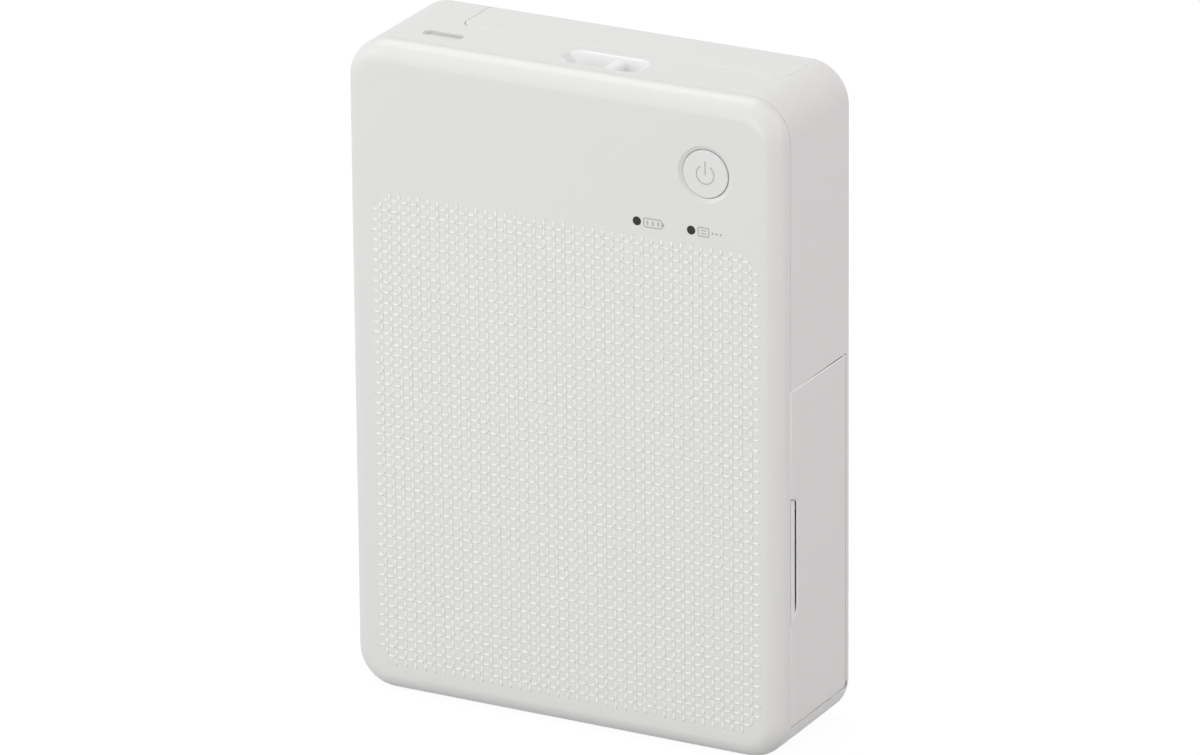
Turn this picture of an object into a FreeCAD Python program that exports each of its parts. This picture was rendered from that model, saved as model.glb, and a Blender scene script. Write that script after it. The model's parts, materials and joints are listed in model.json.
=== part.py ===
import FreeCAD, Part
import math
import os

# Compact photo printer, standing on its short end as photographed.
# X runs to the right, the front faces -Y, Z is up, and the origin is the middle of the base.
# All sizes are millimetres.

# The printer's body
body_width = 102.2
body_height = 145.8
shell_depth = 32.5
foot_stand = 0.4
wall = 1.8
corner_radius = 8.9
front_roll = 4.4
back_roll = 1.0
front_cover_depth = 4.75

# Gaps shared by many pieces
seam = 0.15
cover_joint_gap = 0.06
shaft_gap = 0.05
clearance = 0.3
wide_gap = 0.6
overrun = 3.0

# Lip of the rear case that locates the front cover
lip_width = 0.8
lip_reach = 1.7
lip_root = 0.6
lip_gap = 0.12

# Ink door on the right side, and its finger notch
door_bottom = 7.1
door_top = 82.3
door_axis_from_back = 3.25
door_nose = 1.02
door_nose_gap = 0.08
notch_bottom = 30.2
notch_top = 58.5
notch_taper = 2.8
notch_depth = 3.15
notch_fall = 0.8
notch_corner = 0.7
notch_chamfer = 0.35
scoop_width = 2.2
scoop_drop = 0.25
grip_lip = 0.45
grip_depth = 4.0
door_pin_radius = 0.4
door_pin_in_case = 1.0
door_pin_in_door = 3.0
door_hook_thick = 1.2
door_hook_width = 8.0
door_hook_gap = 0.8
ledge_thick = 1.45
ledge_width = 2.65

# Paper cover at the rear and top
cover_left_margin = 18.1
cover_right_margin = 7.8
cover_axis_height = 50.9
cover_edge_gap = 0.35
flange_from_recess = 3.4
flange_corner = 3.0
cover_pin_radius = 0.4
cover_pin_length = 6.0

# Charging port
port_from_left = 18.1
port_from_front = 11.15
port_width = 9.0
port_height = 3.2
port_length = 7.4
port_wall = 0.35
port_mouth_width = 9.4
port_mouth_height = 2.9
port_seat_gap = 0.3
port_setback = 1.1
port_tongue = 0.7

# Strap recess in the top, with its bar
recess_left_from_right = 55.6
recess_right_from_right = 36.9
recess_front_from_front = 7.4
recess_back_from_front = 15.05
recess_corner = 3.0
recess_floor_corner = 1.5
recess_depth = 4.6
recess_ramp = 6.6
recess_slope = 4.0
recess_end_slope = 2.5
recess_draft = 0.4
strap_hole_width = 3.0
strap_hole_depth = 5.6
strap_hole_corner = 0.8
strap_hole_from_back = 1.9
recess_wall = 1.0
bar_width = 3.2
bar_height = 2.2
bar_round = 1.05
bar_below_top = 0.6
bar_from_recess_right = 7.4
bar_seat = 0.8

# Power button and lights on the front
button_from_right = 17.3
button_from_top = 16.9
button_radius = 5.2
button_gap = 0.15
button_thick = 1.9
button_sink = 0.25
button_flange = 0.7
button_flange_thick = 0.6
button_stem_radius = 1.5
button_travel = 0.5
bevel_width = 0.85
bevel_depth = 0.55
light_from_top = 29.5
charge_light_from_right = 33.1
status_light_from_right = 20.5
light_radius = 0.95
light_flange = 0.6
light_flange_thick = 0.5
light_pipe_radius = 0.75

# Joining screws between the covers
boss_radius = 1.8
boss_side_inset = 6.0
boss_low_inset = 6.2
boss_high_inset = 15.8
boss_joint_from_front = 10.5
screw_radius = 0.8
screw_head_radius = 1.5
screw_head_thick = 1.1
screw_recess = 1.3
screw_end_gap = 1.0

# Ribs inside the front cover
rib_thick = 1.0
rib_reach = 0.6
rib_side_inset = 12.0
rib_low_inset = 12.0
rib_high_inset = 52.0

# Rubber feet on the back
foot_radius = 4.0
foot_seat = 0.5
foot_low_height = 14.0
foot_low_inset = 15.0
foot_high_from_top = 12.0
foot_high_inset = 7.5

# Side plates of the mechanism
plate_thick = 1.2
plate_front_margin = 0.4
plate_back_from_back = 2.85
plate_bottom = 8.6
right_plate_over_motor = 2.0
gear_side_gap = 1.3
gear_width = 2.0
gear_to_plate = 1.9
right_plate_gap = 0.7
tab_length = 6.0
tab_height = 6.0
tab_low = 13.0
left_tab_below_motor = 2.5
right_tab_over_capstan = 3.0
tab_screw_radius = 0.7
tab_screw_head = 1.3
tab_screw_head_thick = 0.6
cross_bar_radius = 1.2
rear_bar_from_back = 5.0
rear_bar_height = 22.0
upper_bar_from_tray = 1.7
upper_bar_below_motor = 1.3

# Paper and its path down to the exit slot; these margins leave room for 72 by 86 sheets
paper_from_left = 20.35
paper_stack_thick = 2.4
paper_sheet_thick = 0.24
paper_from_right = 9.85
paper_top_gap = 2.8
paper_foot_below_pickup = 3.0
stack_from_back = 4.45
paper_plane_from_back = 11.7
exit_margin = 1.0
exit_width = 2.4
guide_from_path = 0.8
guide_tip = 0.6
guide_end_rise = 0.3

# Paper tray in front of the stack
tray_wall = 0.8
tray_gap = 0.4
tray_side = 1.0
tray_flange = 4.6
tray_side_back_gap = 0.35
tray_window_gap = 0.8

# Pressure plate on the paper cover
plate_sheet = 0.6
pressure_side_inset = 5.0
pressure_bottom_gap = 5.0
pressure_top_gap = 6.0
pressure_lip = 0.6
guide_pin_radius = 1.2
guide_pin_gap = 0.1
guide_pin_inset = 7.0
leaf_thick = 0.2
leaf_width = 6.0
leaf_length = 18.0
leaf_from_pin = 6.0
leaf_end_inset = 15.0
leaf_foot = 3.0

# Rollers
shaft_radius = 1.5
roller_margin = 2.0
platen_radius = 4.0
capstan_radius = 2.1
capstan_height = 30.0
platen_above_capstan = 14.0
pinch_radius = 2.0
pinch_journal_radius = 1.0
pickup_radius = 3.0
pickup_above_platen = 16.0
pickup_width = 8.0
pickup_spacing = 22.0
bush_wall = 1.0
bush_flange = 0.7
bush_flange_thick = 0.6
shaft_end = 0.6

# Gear train on the left side plate
gear_module = 0.5
pinion_teeth = 12
first_idler_teeth = 28
pickup_teeth = 24
second_idler_teeth = 24
third_idler_teeth = 20
capstan_teeth = 24
ribbon_teeth = 24
tooth_tip_share = 0.20
tooth_root_share = 0.62
addendum_share = 0.85
dedendum_share = 1.2
axle_radius = 1.0
axle_head = 0.4
hub_wall = 1.0
hub_gap = 0.3
motor_from_back = 15.05
second_idler_from_back = 14.55
motor_radius = 6.5
motor_length = 18.0
motor_boss_radius = 2.0
motor_boss_thick = 0.8
motor_shaft_radius = 0.75
motor_bearing_depth = 3.0
motor_flat_share = 0.8

# Ink cassette in its bay
tube_radius = 6.0
tube_wall = 0.9
tube_to_film = 0.47
tube_below_motor = 3.5
supply_roll_radius = 4.4
takeup_roll_radius = 2.6
spool_radius = 2.0
spool_flange_radius = 4.8
spool_flange_thick = 0.8
cassette_left_gap = 5.4
cassette_right_gap = 1.3
cassette_cap = 1.0
cassette_bridge = 1.0
film_slit = 1.2
film_thick = 0.1
film_inset = 3.0
film_head_gap = 0.1
film_lip_thick = 0.8
film_peel_drop = 3.5
film_guide_above_capstan = 3.5
film_pinch_gap = 1.1
film_entry_rise = 5.0
grip_width = 12.0
grip_reach = 2.4
dog_radius = 1.1
dog_depth = 4.0

# Print head, its arm and the beam that carries them
beam_thick = 0.8
beam_from_bridge = 0.5
beam_below_platen = 3.0
beam_above_platen = 14.5
beam_lip = 2.5
beam_ear_inset = 7.4
ear_thick = 1.0
pivot_radius = 1.0
pivot_above_platen = 11.5
pivot_from_beam = 2.1
arm_thick = 1.0
arm_below_platen = 4.5
arm_above_platen = 8.0
arm_ear_gap = 0.4
arm_ear_reach = 1.5
head_below_platen = 3.0
head_above_platen = 6.0
head_depth = 4.0
ceramic_thick = 0.5
ceramic_below_platen = 2.0
ceramic_above_platen = 4.0
bead_radius = 0.6
bead_stand = 0.2
head_end_inset = 1.0
head_spring_width = 4.0
head_spring_spacing = 22.0
flex_width = 4.0
flex_thick = 0.2

# Main board and what it carries
board_thick = 1.0
board_from_front = 8.55
board_over_motor = 0.9
board_top_gap = 7.2
board_tab_top_gap = 3.4
board_tab_width = 20.0
board_side_gap = 7.0
board_post_radius = 1.9
board_post_inset_x = 2.6
board_post_inset_z = 5.5
board_screw_radius = 0.7
chip_size = 10.0
chip_thick = 1.1
memory_size = 6.0
memory_thick = 0.8
driver_size = 5.0
driver_rise = 5.0
coil_radius = 2.4
coil_thick = 1.9
coil_rise = 7.5
chip_above_middle = 2.5
memory_from_port = 10.0
coil_from_port = 15.0
chip_from_port = 20.0
radio_from_port = 35.0
radio_rise = 5.0
radio_width = 14.0
radio_height = 9.0
radio_thick = 1.7
socket_width = 8.0
socket_depth = 3.2
socket_thick = 1.4
switch_size = 4.0
switch_thick = 1.5
plunger_radius = 1.0
plunger_reach = 0.5
plunger_gap = 0.05
lamp_size = 1.2
lamp_thick = 0.7
battery_left_gap = 27.0
battery_right_gap = 13.2
battery_top_gap = 9.2
battery_over_board_foot = 3.1
battery_front_gap = 0.1
battery_plug_rise = 6.0
battery_corner = 3.5

# Places worked out from the sizes above
left = -body_width / 2
right = body_width / 2
front = -(shell_depth + foot_stand) / 2
back = front + shell_depth
top = body_height
inner_left = left + wall
inner_right = right - wall
inner_front = front + wall
inner_back = back - wall
inner_top = top - wall
parting = front + front_cover_depth

door_axis_x = right - wall / 2
door_axis_y = back - door_axis_from_back
door_front = parting + seam
door_back = door_axis_y + door_nose
ledge_x1 = inner_right - seam
ledge_x0 = ledge_x1 - ledge_thick

cover_left = left + cover_left_margin
cover_right = right - cover_right_margin
cover_axis_y = back - wall / 2
cover_axis_z = cover_axis_height
case_edge_z = cover_axis_z - wall / 2 - cover_edge_gap

port_x = left + port_from_left
port_y = front + port_from_front
recess_left = right - recess_left_from_right
recess_right = right - recess_right_from_right
recess_front = front + recess_front_from_front
recess_back = front + recess_back_from_front
recess_floor = top - recess_depth
flange_front = recess_back + flange_from_recess
bar_x = recess_right - bar_from_recess_right

button_x = right - button_from_right
button_z = top - button_from_top
charge_x = right - charge_light_from_right
status_x = right - status_light_from_right
light_z = top - light_from_top

gear_x0 = inner_left + gear_side_gap
gear_x1 = gear_x0 + gear_width
left_plate_x0 = gear_x1 + gear_to_plate
left_plate_x1 = left_plate_x0 + plate_thick
right_plate_x1 = ledge_x0 - right_plate_gap
right_plate_x0 = right_plate_x1 - plate_thick
plate_back = back - plate_back_from_back

platen_height = capstan_height + platen_above_capstan
pickup_height = platen_height + pickup_above_platen
paper_x0 = left + paper_from_left
paper_x1 = right - paper_from_right
paper_mid = (paper_x0 + paper_x1) / 2
paper_top = top - paper_top_gap
paper_bottom = pickup_height - paper_foot_below_pickup
stack_back = back - stack_from_back
stack_front = stack_back - paper_stack_thick
paper_plane = back - paper_plane_from_back
tray_back = stack_front - tray_gap
tray_front = tray_back - tray_wall

roller_x0 = paper_x0 - roller_margin
roller_x1 = paper_x1 + roller_margin
platen_y = paper_plane + paper_sheet_thick / 2 + platen_radius
capstan_y = paper_plane + paper_sheet_thick / 2 + capstan_radius
pinch_y = paper_plane - paper_sheet_thick / 2 - pinch_radius
pickup_y = stack_front - clearance - pickup_radius

film_back = platen_y - platen_radius - clearance
film_front = film_back - film_thick
film_guide_height = capstan_height + film_guide_above_capstan
tube_y = film_front - tube_to_film - tube_radius
plate_front = tube_y - tube_radius - plate_front_margin
cassette_x0 = left_plate_x1 + cassette_left_gap
cassette_x1 = right_plate_x0 - cassette_right_gap
bridge_front = tube_y - tube_radius
bridge_back = bridge_front + cassette_bridge
beam_y0 = bridge_back + beam_from_bridge
beam_y1 = beam_y0 + beam_thick
pivot_y = beam_y1 + pivot_from_beam
head_face = film_front - film_head_gap
head_back_y = head_face - ceramic_thick
head_y0 = head_back_y - head_depth
arm_y1 = head_y0
arm_y0 = arm_y1 - arm_thick
beam_low = platen_height - beam_below_platen
beam_high = platen_height + beam_above_platen
pivot_height = platen_height + pivot_above_platen
arm_low = platen_height - arm_below_platen
arm_high = platen_height + arm_above_platen
head_low = platen_height - head_below_platen
head_high = platen_height + head_above_platen
ceramic_low = platen_height - ceramic_below_platen
ceramic_high = platen_height + ceramic_above_platen


def vector(x, y, z):
    return FreeCAD.Vector(x, y, z)


def box(x0, x1, y0, y1, z0, z1):
    return Part.makeBox(x1 - x0, y1 - y0, z1 - z0, vector(x0, y0, z0))


def rod_x(x0, x1, y, z, radius):
    return Part.makeCylinder(radius, x1 - x0, vector(x0, y, z), vector(1, 0, 0))


def rod_y(x, z, y0, y1, radius):
    return Part.makeCylinder(radius, y1 - y0, vector(x, y0, z), vector(0, 1, 0))


def rod_z(x, y, z0, z1, radius):
    return Part.makeCylinder(radius, z1 - z0, vector(x, y, z0), vector(0, 0, 1))


def tube_x(x0, x1, y, z, outer, inner):
    return rod_x(x0, x1, y, z, outer).cut(rod_x(x0 - overrun, x1 + overrun, y, z, inner))


def prism_x(points, x0, x1):
    """A solid with an outline of (y, z) points, from x0 to x1."""
    corners = [vector(x0, y, z) for y, z in points]
    outline = Part.makePolygon(corners + corners[:1])
    return Part.Face(outline).extrude(vector(x1 - x0, 0, 0))


def prism_y(points, y0, y1):
    """A solid with an outline of (x, z) points, from y0 to y1."""
    corners = [vector(x, y0, z) for x, z in points]
    outline = Part.makePolygon(corners + corners[:1])
    return Part.Face(outline).extrude(vector(0, y1 - y0, 0))


def prism_z(points, z0, z1):
    """A solid with an outline of (x, y) points, from z0 to z1."""
    corners = [vector(x, y, z0) for x, y in points]
    outline = Part.makePolygon(corners + corners[:1])
    return Part.Face(outline).extrude(vector(0, 0, z1 - z0))


def bent_strip(points, thick, x0, x1):
    """A strip of even thickness that follows (y, z) points, with mitred bends."""
    normals = []
    for (y0, z0), (y1, z1) in zip(points, points[1:]):
        length = math.hypot(y1 - y0, z1 - z0)
        normals.append(((z1 - z0) / length, (y0 - y1) / length))
    sides = []
    for index, (y, z) in enumerate(points):
        before = normals[max(index - 1, 0)]
        after = normals[min(index, len(normals) - 1)]
        half = 1 + before[0] * after[0] + before[1] * after[1]
        sides.append(((before[0] + after[0]) / half, (before[1] + after[1]) / half))
    outer = [(y + n[0] * thick / 2, z + n[1] * thick / 2) for (y, z), n in zip(points, sides)]
    inner = [(y - n[0] * thick / 2, z - n[1] * thick / 2) for (y, z), n in zip(points, sides)]
    return prism_x(outer + inner[::-1], x0, x1)


def edges_along(shape, axis):
    """The straight edges that run along one axis."""
    found = []
    for edge in shape.Edges:
        if len(edge.Vertexes) == 2:
            run = edge.Vertexes[1].Point - edge.Vertexes[0].Point
            if abs(abs(run.dot(axis)) - edge.Length) < edge.Length / 1000:
                found.append(edge)
    return found


def edges_in_plane(shape, axis, place):
    """The edges that lie in the plane square to an axis at a place along it."""
    near = seam / 100
    return [e for e in shape.Edges if all(abs(v.Point.dot(axis) - place) < near for v in e.Vertexes)]


def rounded_plate(x0, x1, y0, y1, z0, z1, radius, axis):
    block = box(x0, x1, y0, y1, z0, z1)
    return block.makeFillet(radius, edges_along(block, axis))


def body_block(inset):
    """The body's outer form, with every face moved inwards by the inset."""
    block = rounded_plate(left + inset, right - inset, front + inset, back - inset, inset, top - inset,
                          corner_radius - inset, vector(0, 1, 0))
    axis = vector(0, 1, 0)
    front_round = max(front_roll - inset, back_roll / 2)
    back_round = max(back_roll - inset, back_roll / 4)
    block = block.makeFillet(front_round, edges_in_plane(block, axis, front + inset))
    return block.makeFillet(back_round, edges_in_plane(block, axis, back - inset))


def slab_y(y0, y1):
    return box(left - overrun, right + overrun, y0, y1, -overrun, top + overrun)


def save(name, *solids):
    """Writes one node; several solids stay separate in it."""
    shapes = []
    for solid in solids:
        shapes.extend(solid.Solids)
    shape = shapes[0] if len(shapes) == 1 else Part.makeCompound(shapes)
    for solid in shapes:
        if not solid.isValid():
            print("not valid:", name)
    shape.exportStep(f"parts/{name}.step")
    print(name, len(shapes), "solids", round(shape.Volume, 1))
    return shape


def boss_places():
    """Where the four screws join the covers, as (x, z)."""
    places = []
    for side in (-1, 1):
        low = (side * (body_width / 2 - boss_side_inset - boss_radius / 2), boss_low_inset)
        high = (side * (body_width / 2 - boss_side_inset + boss_radius / 2), top - boss_high_inset)
        places += [low, high]
    return places


def board_post_places():
    """Where the board is screwed to the front cover, as (x, z)."""
    xs = (board_x0 + board_post_inset_x, board_x1 - board_post_inset_x)
    zs = (board_bottom + board_post_inset_z, board_top - board_post_inset_z)
    return [(x, z) for x in xs for z in zs]


def rounded_wire(x0, x1, y0, y1, z, radius):
    """A level outline with round corners."""
    thin = rounded_plate(x0, x1, y0, y1, z - radius, z, radius, vector(0, 0, 1))
    return max(thin.Faces, key=lambda face: face.CenterOfMass.z).OuterWire


def recess_dish(grow):
    """The strap recess as a solid: a dish with a long ramp on the left, and a hole right of the bar."""
    mouth = rounded_wire(recess_left - grow, recess_right + grow, recess_front - grow, recess_back + grow,
                         top, recess_corner + grow)
    floor = rounded_wire(recess_left + recess_ramp - grow, recess_right - recess_end_slope + grow,
                         recess_front + recess_draft - grow, recess_back - recess_slope + grow,
                         recess_floor - grow, recess_floor_corner + grow)
    hole_x = bar_x + bar_width / 2
    hole = rounded_plate(hole_x - grow, hole_x + strap_hole_width + grow, recess_front + recess_draft - grow,
                         recess_back - strap_hole_from_back + grow, top - strap_hole_depth - grow,
                         top - bar_below_top, strap_hole_corner + grow, vector(0, 0, 1))
    return Part.makeLoft([floor, mouth], True, True).fuse(hole)


def recess_cutter():
    """The dish, carried on above the top."""
    above = rounded_plate(recess_left, recess_right, recess_front, recess_back, top, top + overrun,
                          recess_corner, vector(0, 0, 1))
    return recess_dish(0).fuse(above)


def make_bar():
    """The bar across the strap recess, with both ends let into its walls."""
    bar_top = top - bar_below_top
    return rounded_plate(bar_x - bar_width / 2, bar_x + bar_width / 2, recess_front - bar_seat,
                         recess_back + bar_seat, bar_top - bar_height, bar_top, bar_round, vector(0, 1, 0))


def flange_block(grow):
    """The space of the paper cover: its back panel and its top flange."""
    x0, x1 = cover_left - grow, cover_right + grow
    bottom = cover_axis_z if grow == 0 else case_edge_z
    panel = box(x0, x1, inner_back - grow, back + overrun, bottom, top + overrun)
    flange = box(x0, x1, flange_front - grow, back + overrun, inner_top - grow, top + overrun)
    corners = [e for e in edges_along(flange, vector(0, 0, 1)) if e.Vertexes[0].Point.y < flange_front + seam]
    flange = flange.makeFillet(flange_corner, corners)
    return panel.fuse(flange)


def door_outline(grow):
    """The ink door's space in the side wall, without the finger notch."""
    return box(ledge_x1 - overrun if grow else inner_right, right + overrun, parting if grow else door_front,
               door_back if grow else door_axis_y, door_bottom - grow, door_top + grow)


def notch_points(inset):
    """The finger notch's outline as (y, z), with a sloped lower end."""
    deep = door_front + notch_depth - inset
    return [(parting - overrun, notch_bottom + inset - notch_taper * overrun / notch_depth),
            (door_front, notch_bottom + inset), (deep, notch_bottom + inset + notch_taper),
            (deep, notch_top - inset - notch_fall - notch_corner),
            (deep - notch_corner, notch_top - inset - notch_fall),
            (door_front, notch_top - inset), (parting - overrun, notch_top - inset)]


def plate_tab_places():
    """Where the side plates are screwed to the rear case, as (x, z)."""
    half = tab_height / 2
    left_x = left_plate_x1 + tab_length / 2
    right_x = right_plate_x0 - tab_length / 2
    return [(left_x, tab_low + half), (left_x, left_tab_high + half),
            (right_x, tab_low + half), (right_x, right_tab_high + half)]


def pitch_radius(teeth):
    return teeth * gear_module / 2


def meet(first, first_reach, second, second_reach, side):
    """The point at two distances from two centres, on the chosen side of the line between them."""
    dy = second[0] - first[0]
    dz = second[1] - first[1]
    apart = math.hypot(dy, dz)
    along = (first_reach ** 2 - second_reach ** 2 + apart ** 2) / (2 * apart)
    across = math.sqrt(first_reach ** 2 - along ** 2) * side
    return (first[0] + (along * dy - across * dz) / apart, first[1] + (along * dz + across * dy) / apart)


def step(at, reach, y):
    """How far up or down a wheel at y lies from one that it meets."""
    return math.sqrt(reach ** 2 - (at[0] - y) ** 2)


# Centres of the gears as (y, z), from the pickup roller up to the motor and down to the capstan
pickup_at = (pickup_y, pickup_height)
capstan_at = (capstan_y, capstan_height)
motor_y = back - motor_from_back
first_reach = pitch_radius(pickup_teeth) + pitch_radius(first_idler_teeth)
first_at = (motor_y, pickup_height + step(pickup_at, first_reach, motor_y))
motor_height = first_at[1] + pitch_radius(pinion_teeth) + pitch_radius(first_idler_teeth)
motor_at = (motor_y, motor_height)
second_y = back - second_idler_from_back
second_reach = pitch_radius(pickup_teeth) + pitch_radius(second_idler_teeth)
second_at = (second_y, pickup_height - step(pickup_at, second_reach, second_y))
third_at = meet(second_at, pitch_radius(second_idler_teeth) + pitch_radius(third_idler_teeth),
                capstan_at, pitch_radius(capstan_teeth) + pitch_radius(third_idler_teeth), -1)
ribbon_reach = pitch_radius(capstan_teeth) + pitch_radius(ribbon_teeth)
takeup_height = capstan_height - step(capstan_at, ribbon_reach, tube_y)
takeup_at = (tube_y, takeup_height)
supply_height = motor_height - motor_radius - tube_below_motor - tube_radius
supply_at = (tube_y, supply_height)

# Places that follow the motor
board_y0 = front + board_from_front
board_y1 = board_y0 + board_thick
board_top = top - board_top_gap
board_bottom = motor_height + motor_radius + board_over_motor
board_x0 = left + board_side_gap
board_x1 = right - board_side_gap
battery_bottom = board_bottom + battery_over_board_foot
battery_front = board_y1 + port_height + battery_front_gap
boss_joint = front + boss_joint_from_front
left_plate_top = board_bottom - clearance
right_plate_top = motor_height + right_plate_over_motor
left_tab_high = motor_height - left_tab_below_motor
right_tab_high = capstan_height + right_tab_over_capstan


def mesh_phase(at, teeth, phase, next_at, next_teeth):
    """The turn that puts a gap of the next gear on a tooth of this one."""
    toward = math.atan2(next_at[1] - at[1], next_at[0] - at[0])
    share = teeth * (toward - phase) / (2 * math.pi)
    return toward + math.pi - (2 * math.pi / next_teeth) * (0.5 - share)


capstan_phase = 0
third_phase = mesh_phase(capstan_at, capstan_teeth, capstan_phase, third_at, third_idler_teeth)
second_phase = mesh_phase(third_at, third_idler_teeth, third_phase, second_at, second_idler_teeth)
pickup_phase = mesh_phase(second_at, second_idler_teeth, second_phase, pickup_at, pickup_teeth)
first_phase = mesh_phase(pickup_at, pickup_teeth, pickup_phase, first_at, first_idler_teeth)
pinion_phase = mesh_phase(first_at, first_idler_teeth, first_phase, motor_at, pinion_teeth)
ribbon_phase = mesh_phase(capstan_at, capstan_teeth, capstan_phase, takeup_at, ribbon_teeth)


def gear(at, teeth, phase, bore):
    """A spur gear of straight-sided teeth in the gear plane, with its bore."""
    pitch = math.pi * gear_module
    radius = pitch_radius(teeth)
    tip = radius + addendum_share * gear_module
    root = radius - dedendum_share * gear_module
    points = []
    for tooth in range(teeth):
        middle = phase + 2 * math.pi * tooth / teeth
        root_half = tooth_root_share * pitch / 2 / radius
        tip_half = tooth_tip_share * pitch / 2 / tip
        for reach, turn in ((root, -root_half), (tip, -tip_half), (tip, tip_half), (root, root_half)):
            points.append((at[0] + reach * math.cos(middle + turn), at[1] + reach * math.sin(middle + turn)))
    blank = prism_x(points, gear_x0, gear_x1)
    return blank.cut(rod_x(gear_x0 - overrun, gear_x1 + overrun, at[0], at[1], bore))


def idler(at, teeth, phase):
    """An idler gear with its long hub, running on a fixed axle."""
    bore = axle_radius + shaft_gap
    hub = tube_x(gear_x0, left_plate_x0 - hub_gap, at[0], at[1], axle_radius + hub_wall, bore)
    return gear(at, teeth, phase, bore).fuse(hub)


def make_front_cover():
    shell = body_block(0).cut(body_block(wall)).common(slab_y(front - overrun, parting))
    parts = []
    for x, z in boss_places():
        parts.append(rod_y(x, z, inner_front - wall / 2, boss_joint, boss_radius))
    for x, z in board_post_places():
        parts.append(rod_y(x, z, inner_front - wall / 2, board_y0, board_post_radius))
    rib_y0 = inner_front - wall / 2
    rib_y1 = inner_front + rib_reach
    rib_x = body_width / 2 - rib_side_inset
    for height in (rib_low_inset, top - rib_high_inset):
        parts.append(box(-rib_x, rib_x, rib_y0, rib_y1, height, height + rib_thick))
    for place in (-rib_x, 0, rib_x - rib_thick):
        parts.append(box(place, place + rib_thick, rib_y0, rib_y1, rib_low_inset, top - rib_high_inset))
    cover = shell.multiFuse(parts)
    cone = Part.makeCone(button_radius + button_gap + bevel_width, button_radius + button_gap, bevel_depth,
                         vector(button_x, front, button_z), vector(0, 1, 0))
    holes = [cone, rod_y(button_x, button_z, front - overrun, inner_front + overrun,
                         button_radius + button_gap)]
    for x in (charge_x, status_x):
        holes.append(rod_y(x, light_z, front - overrun, inner_front + overrun, light_radius))
    for x, z in boss_places():
        holes.append(rod_y(x, z, inner_front, boss_joint + overrun, screw_radius))
    for x, z in board_post_places():
        holes.append(rod_y(x, z, inner_front, board_y0 + overrun, board_screw_radius))
    cover = cover.cut(holes)
    save("front_cover", cover)


def make_rear_case():
    outer = body_block(0)
    shell = outer.cut(body_block(wall)).common(slab_y(parting + cover_joint_gap, back + overrun))
    lip = body_block(wall + lip_gap).cut(body_block(wall + lip_gap + lip_width))
    lip = lip.common(slab_y(parting - lip_reach, parting + lip_root))
    root = body_block(wall / 2).cut(body_block(wall + lip_gap + lip_width))
    root = root.common(slab_y(parting + cover_joint_gap, parting + lip_root))
    ledge = box(ledge_x0, inner_right + wall / 2, parting + cover_joint_gap, back - wall / 2,
                door_bottom - ledge_width - wall / 4, door_top + ledge_width).common(body_block(wall / 2))
    parts = [lip, root, ledge]
    for x, z in boss_places():
        parts.append(rod_y(x, z, boss_joint, back - wall / 2, boss_radius))
    for x, z in plate_tab_places():
        parts.append(rod_y(x, z, plate_back, back - wall / 2, boss_radius))
    case = shell.multiFuse(parts)

    window = box(ledge_x0 - overrun, right + overrun, parting + ledge_width, door_axis_y - ledge_width / 2,
                 door_bottom + ledge_width / 2, door_top - ledge_width / 2)
    lip_relief = box(ledge_x0 - overrun, right + overrun, parting - overrun, parting + seam,
                     door_bottom - seam, door_top + seam)
    opening = door_outline(seam).cut(box(ledge_x0 - overrun, ledge_x1, front, back, 0, top))
    nose_reach = math.hypot(wall / 2, door_nose) + door_nose_gap
    back_space = rod_z(door_axis_x, door_axis_y, door_bottom - seam, door_top + seam, nose_reach)
    cutters = [window, lip_relief, opening, back_space, flange_block(seam), recess_cutter(), make_bar()]

    slot_radius = exit_width / 2
    slot_x0 = paper_x0 - exit_margin
    slot_x1 = paper_x1 + exit_margin
    cutters.append(rounded_plate(slot_x0, slot_x1, paper_plane - slot_radius, paper_plane + slot_radius,
                                 -overrun, wall + overrun, slot_radius - seam, vector(0, 0, 1)))
    mouth = port_mouth_height / 2
    mouth_half = port_mouth_width / 2
    cutters.append(rounded_plate(port_x - mouth_half, port_x + mouth_half, port_y - mouth, port_y + mouth,
                                 inner_top - overrun, top + overrun, mouth - seam, vector(0, 0, 1)))
    half = port_width / 2 + port_seat_gap
    cutters.append(rounded_plate(port_x - half, port_x + half, board_y1 - port_seat_gap,
                                 board_y1 + port_height + port_seat_gap, inner_top - overrun,
                                 top - port_setback + port_seat_gap, port_height / 2, vector(0, 0, 1)))
    for x, z in boss_places():
        cutters.append(rod_y(x, z, boss_joint - overrun, back + overrun, screw_radius))
        cutters.append(rod_y(x, z, back - screw_recess, back + overrun, screw_head_radius + seam))
    for x, z in plate_tab_places():
        cutters.append(rod_y(x, z, plate_back - overrun, back - wall / 2, tab_screw_radius))
    for side in (-1, 1):
        cutters.append(rod_y(side * (body_width / 2 - foot_low_inset), foot_low_height,
                             back - foot_seat, back + overrun, foot_radius))
    cutters.append(rod_x(cover_left - cover_pin_length / 2, cover_right + cover_pin_length / 2,
                         cover_axis_y, cover_axis_z, cover_pin_radius))
    cutters.append(rod_z(door_axis_x, door_axis_y, door_bottom - door_pin_in_case,
                         door_top + door_pin_in_case, door_pin_radius))
    case = case.cut(cutters)

    scoop_x0 = ledge_x1 - ledge_thick / 2
    scoop_back = door_front + scoop_width
    scoop = prism_z([(scoop_x0, door_front), (right, door_front), (right - scoop_drop, scoop_back),
                     (scoop_x0, scoop_back)], notch_bottom, notch_top - seam)
    scoop = scoop.common(prism_x(notch_points(seam), scoop_x0 - overrun, right + overrun))
    case = case.fuse(scoop)
    save("rear_case", case)


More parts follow.
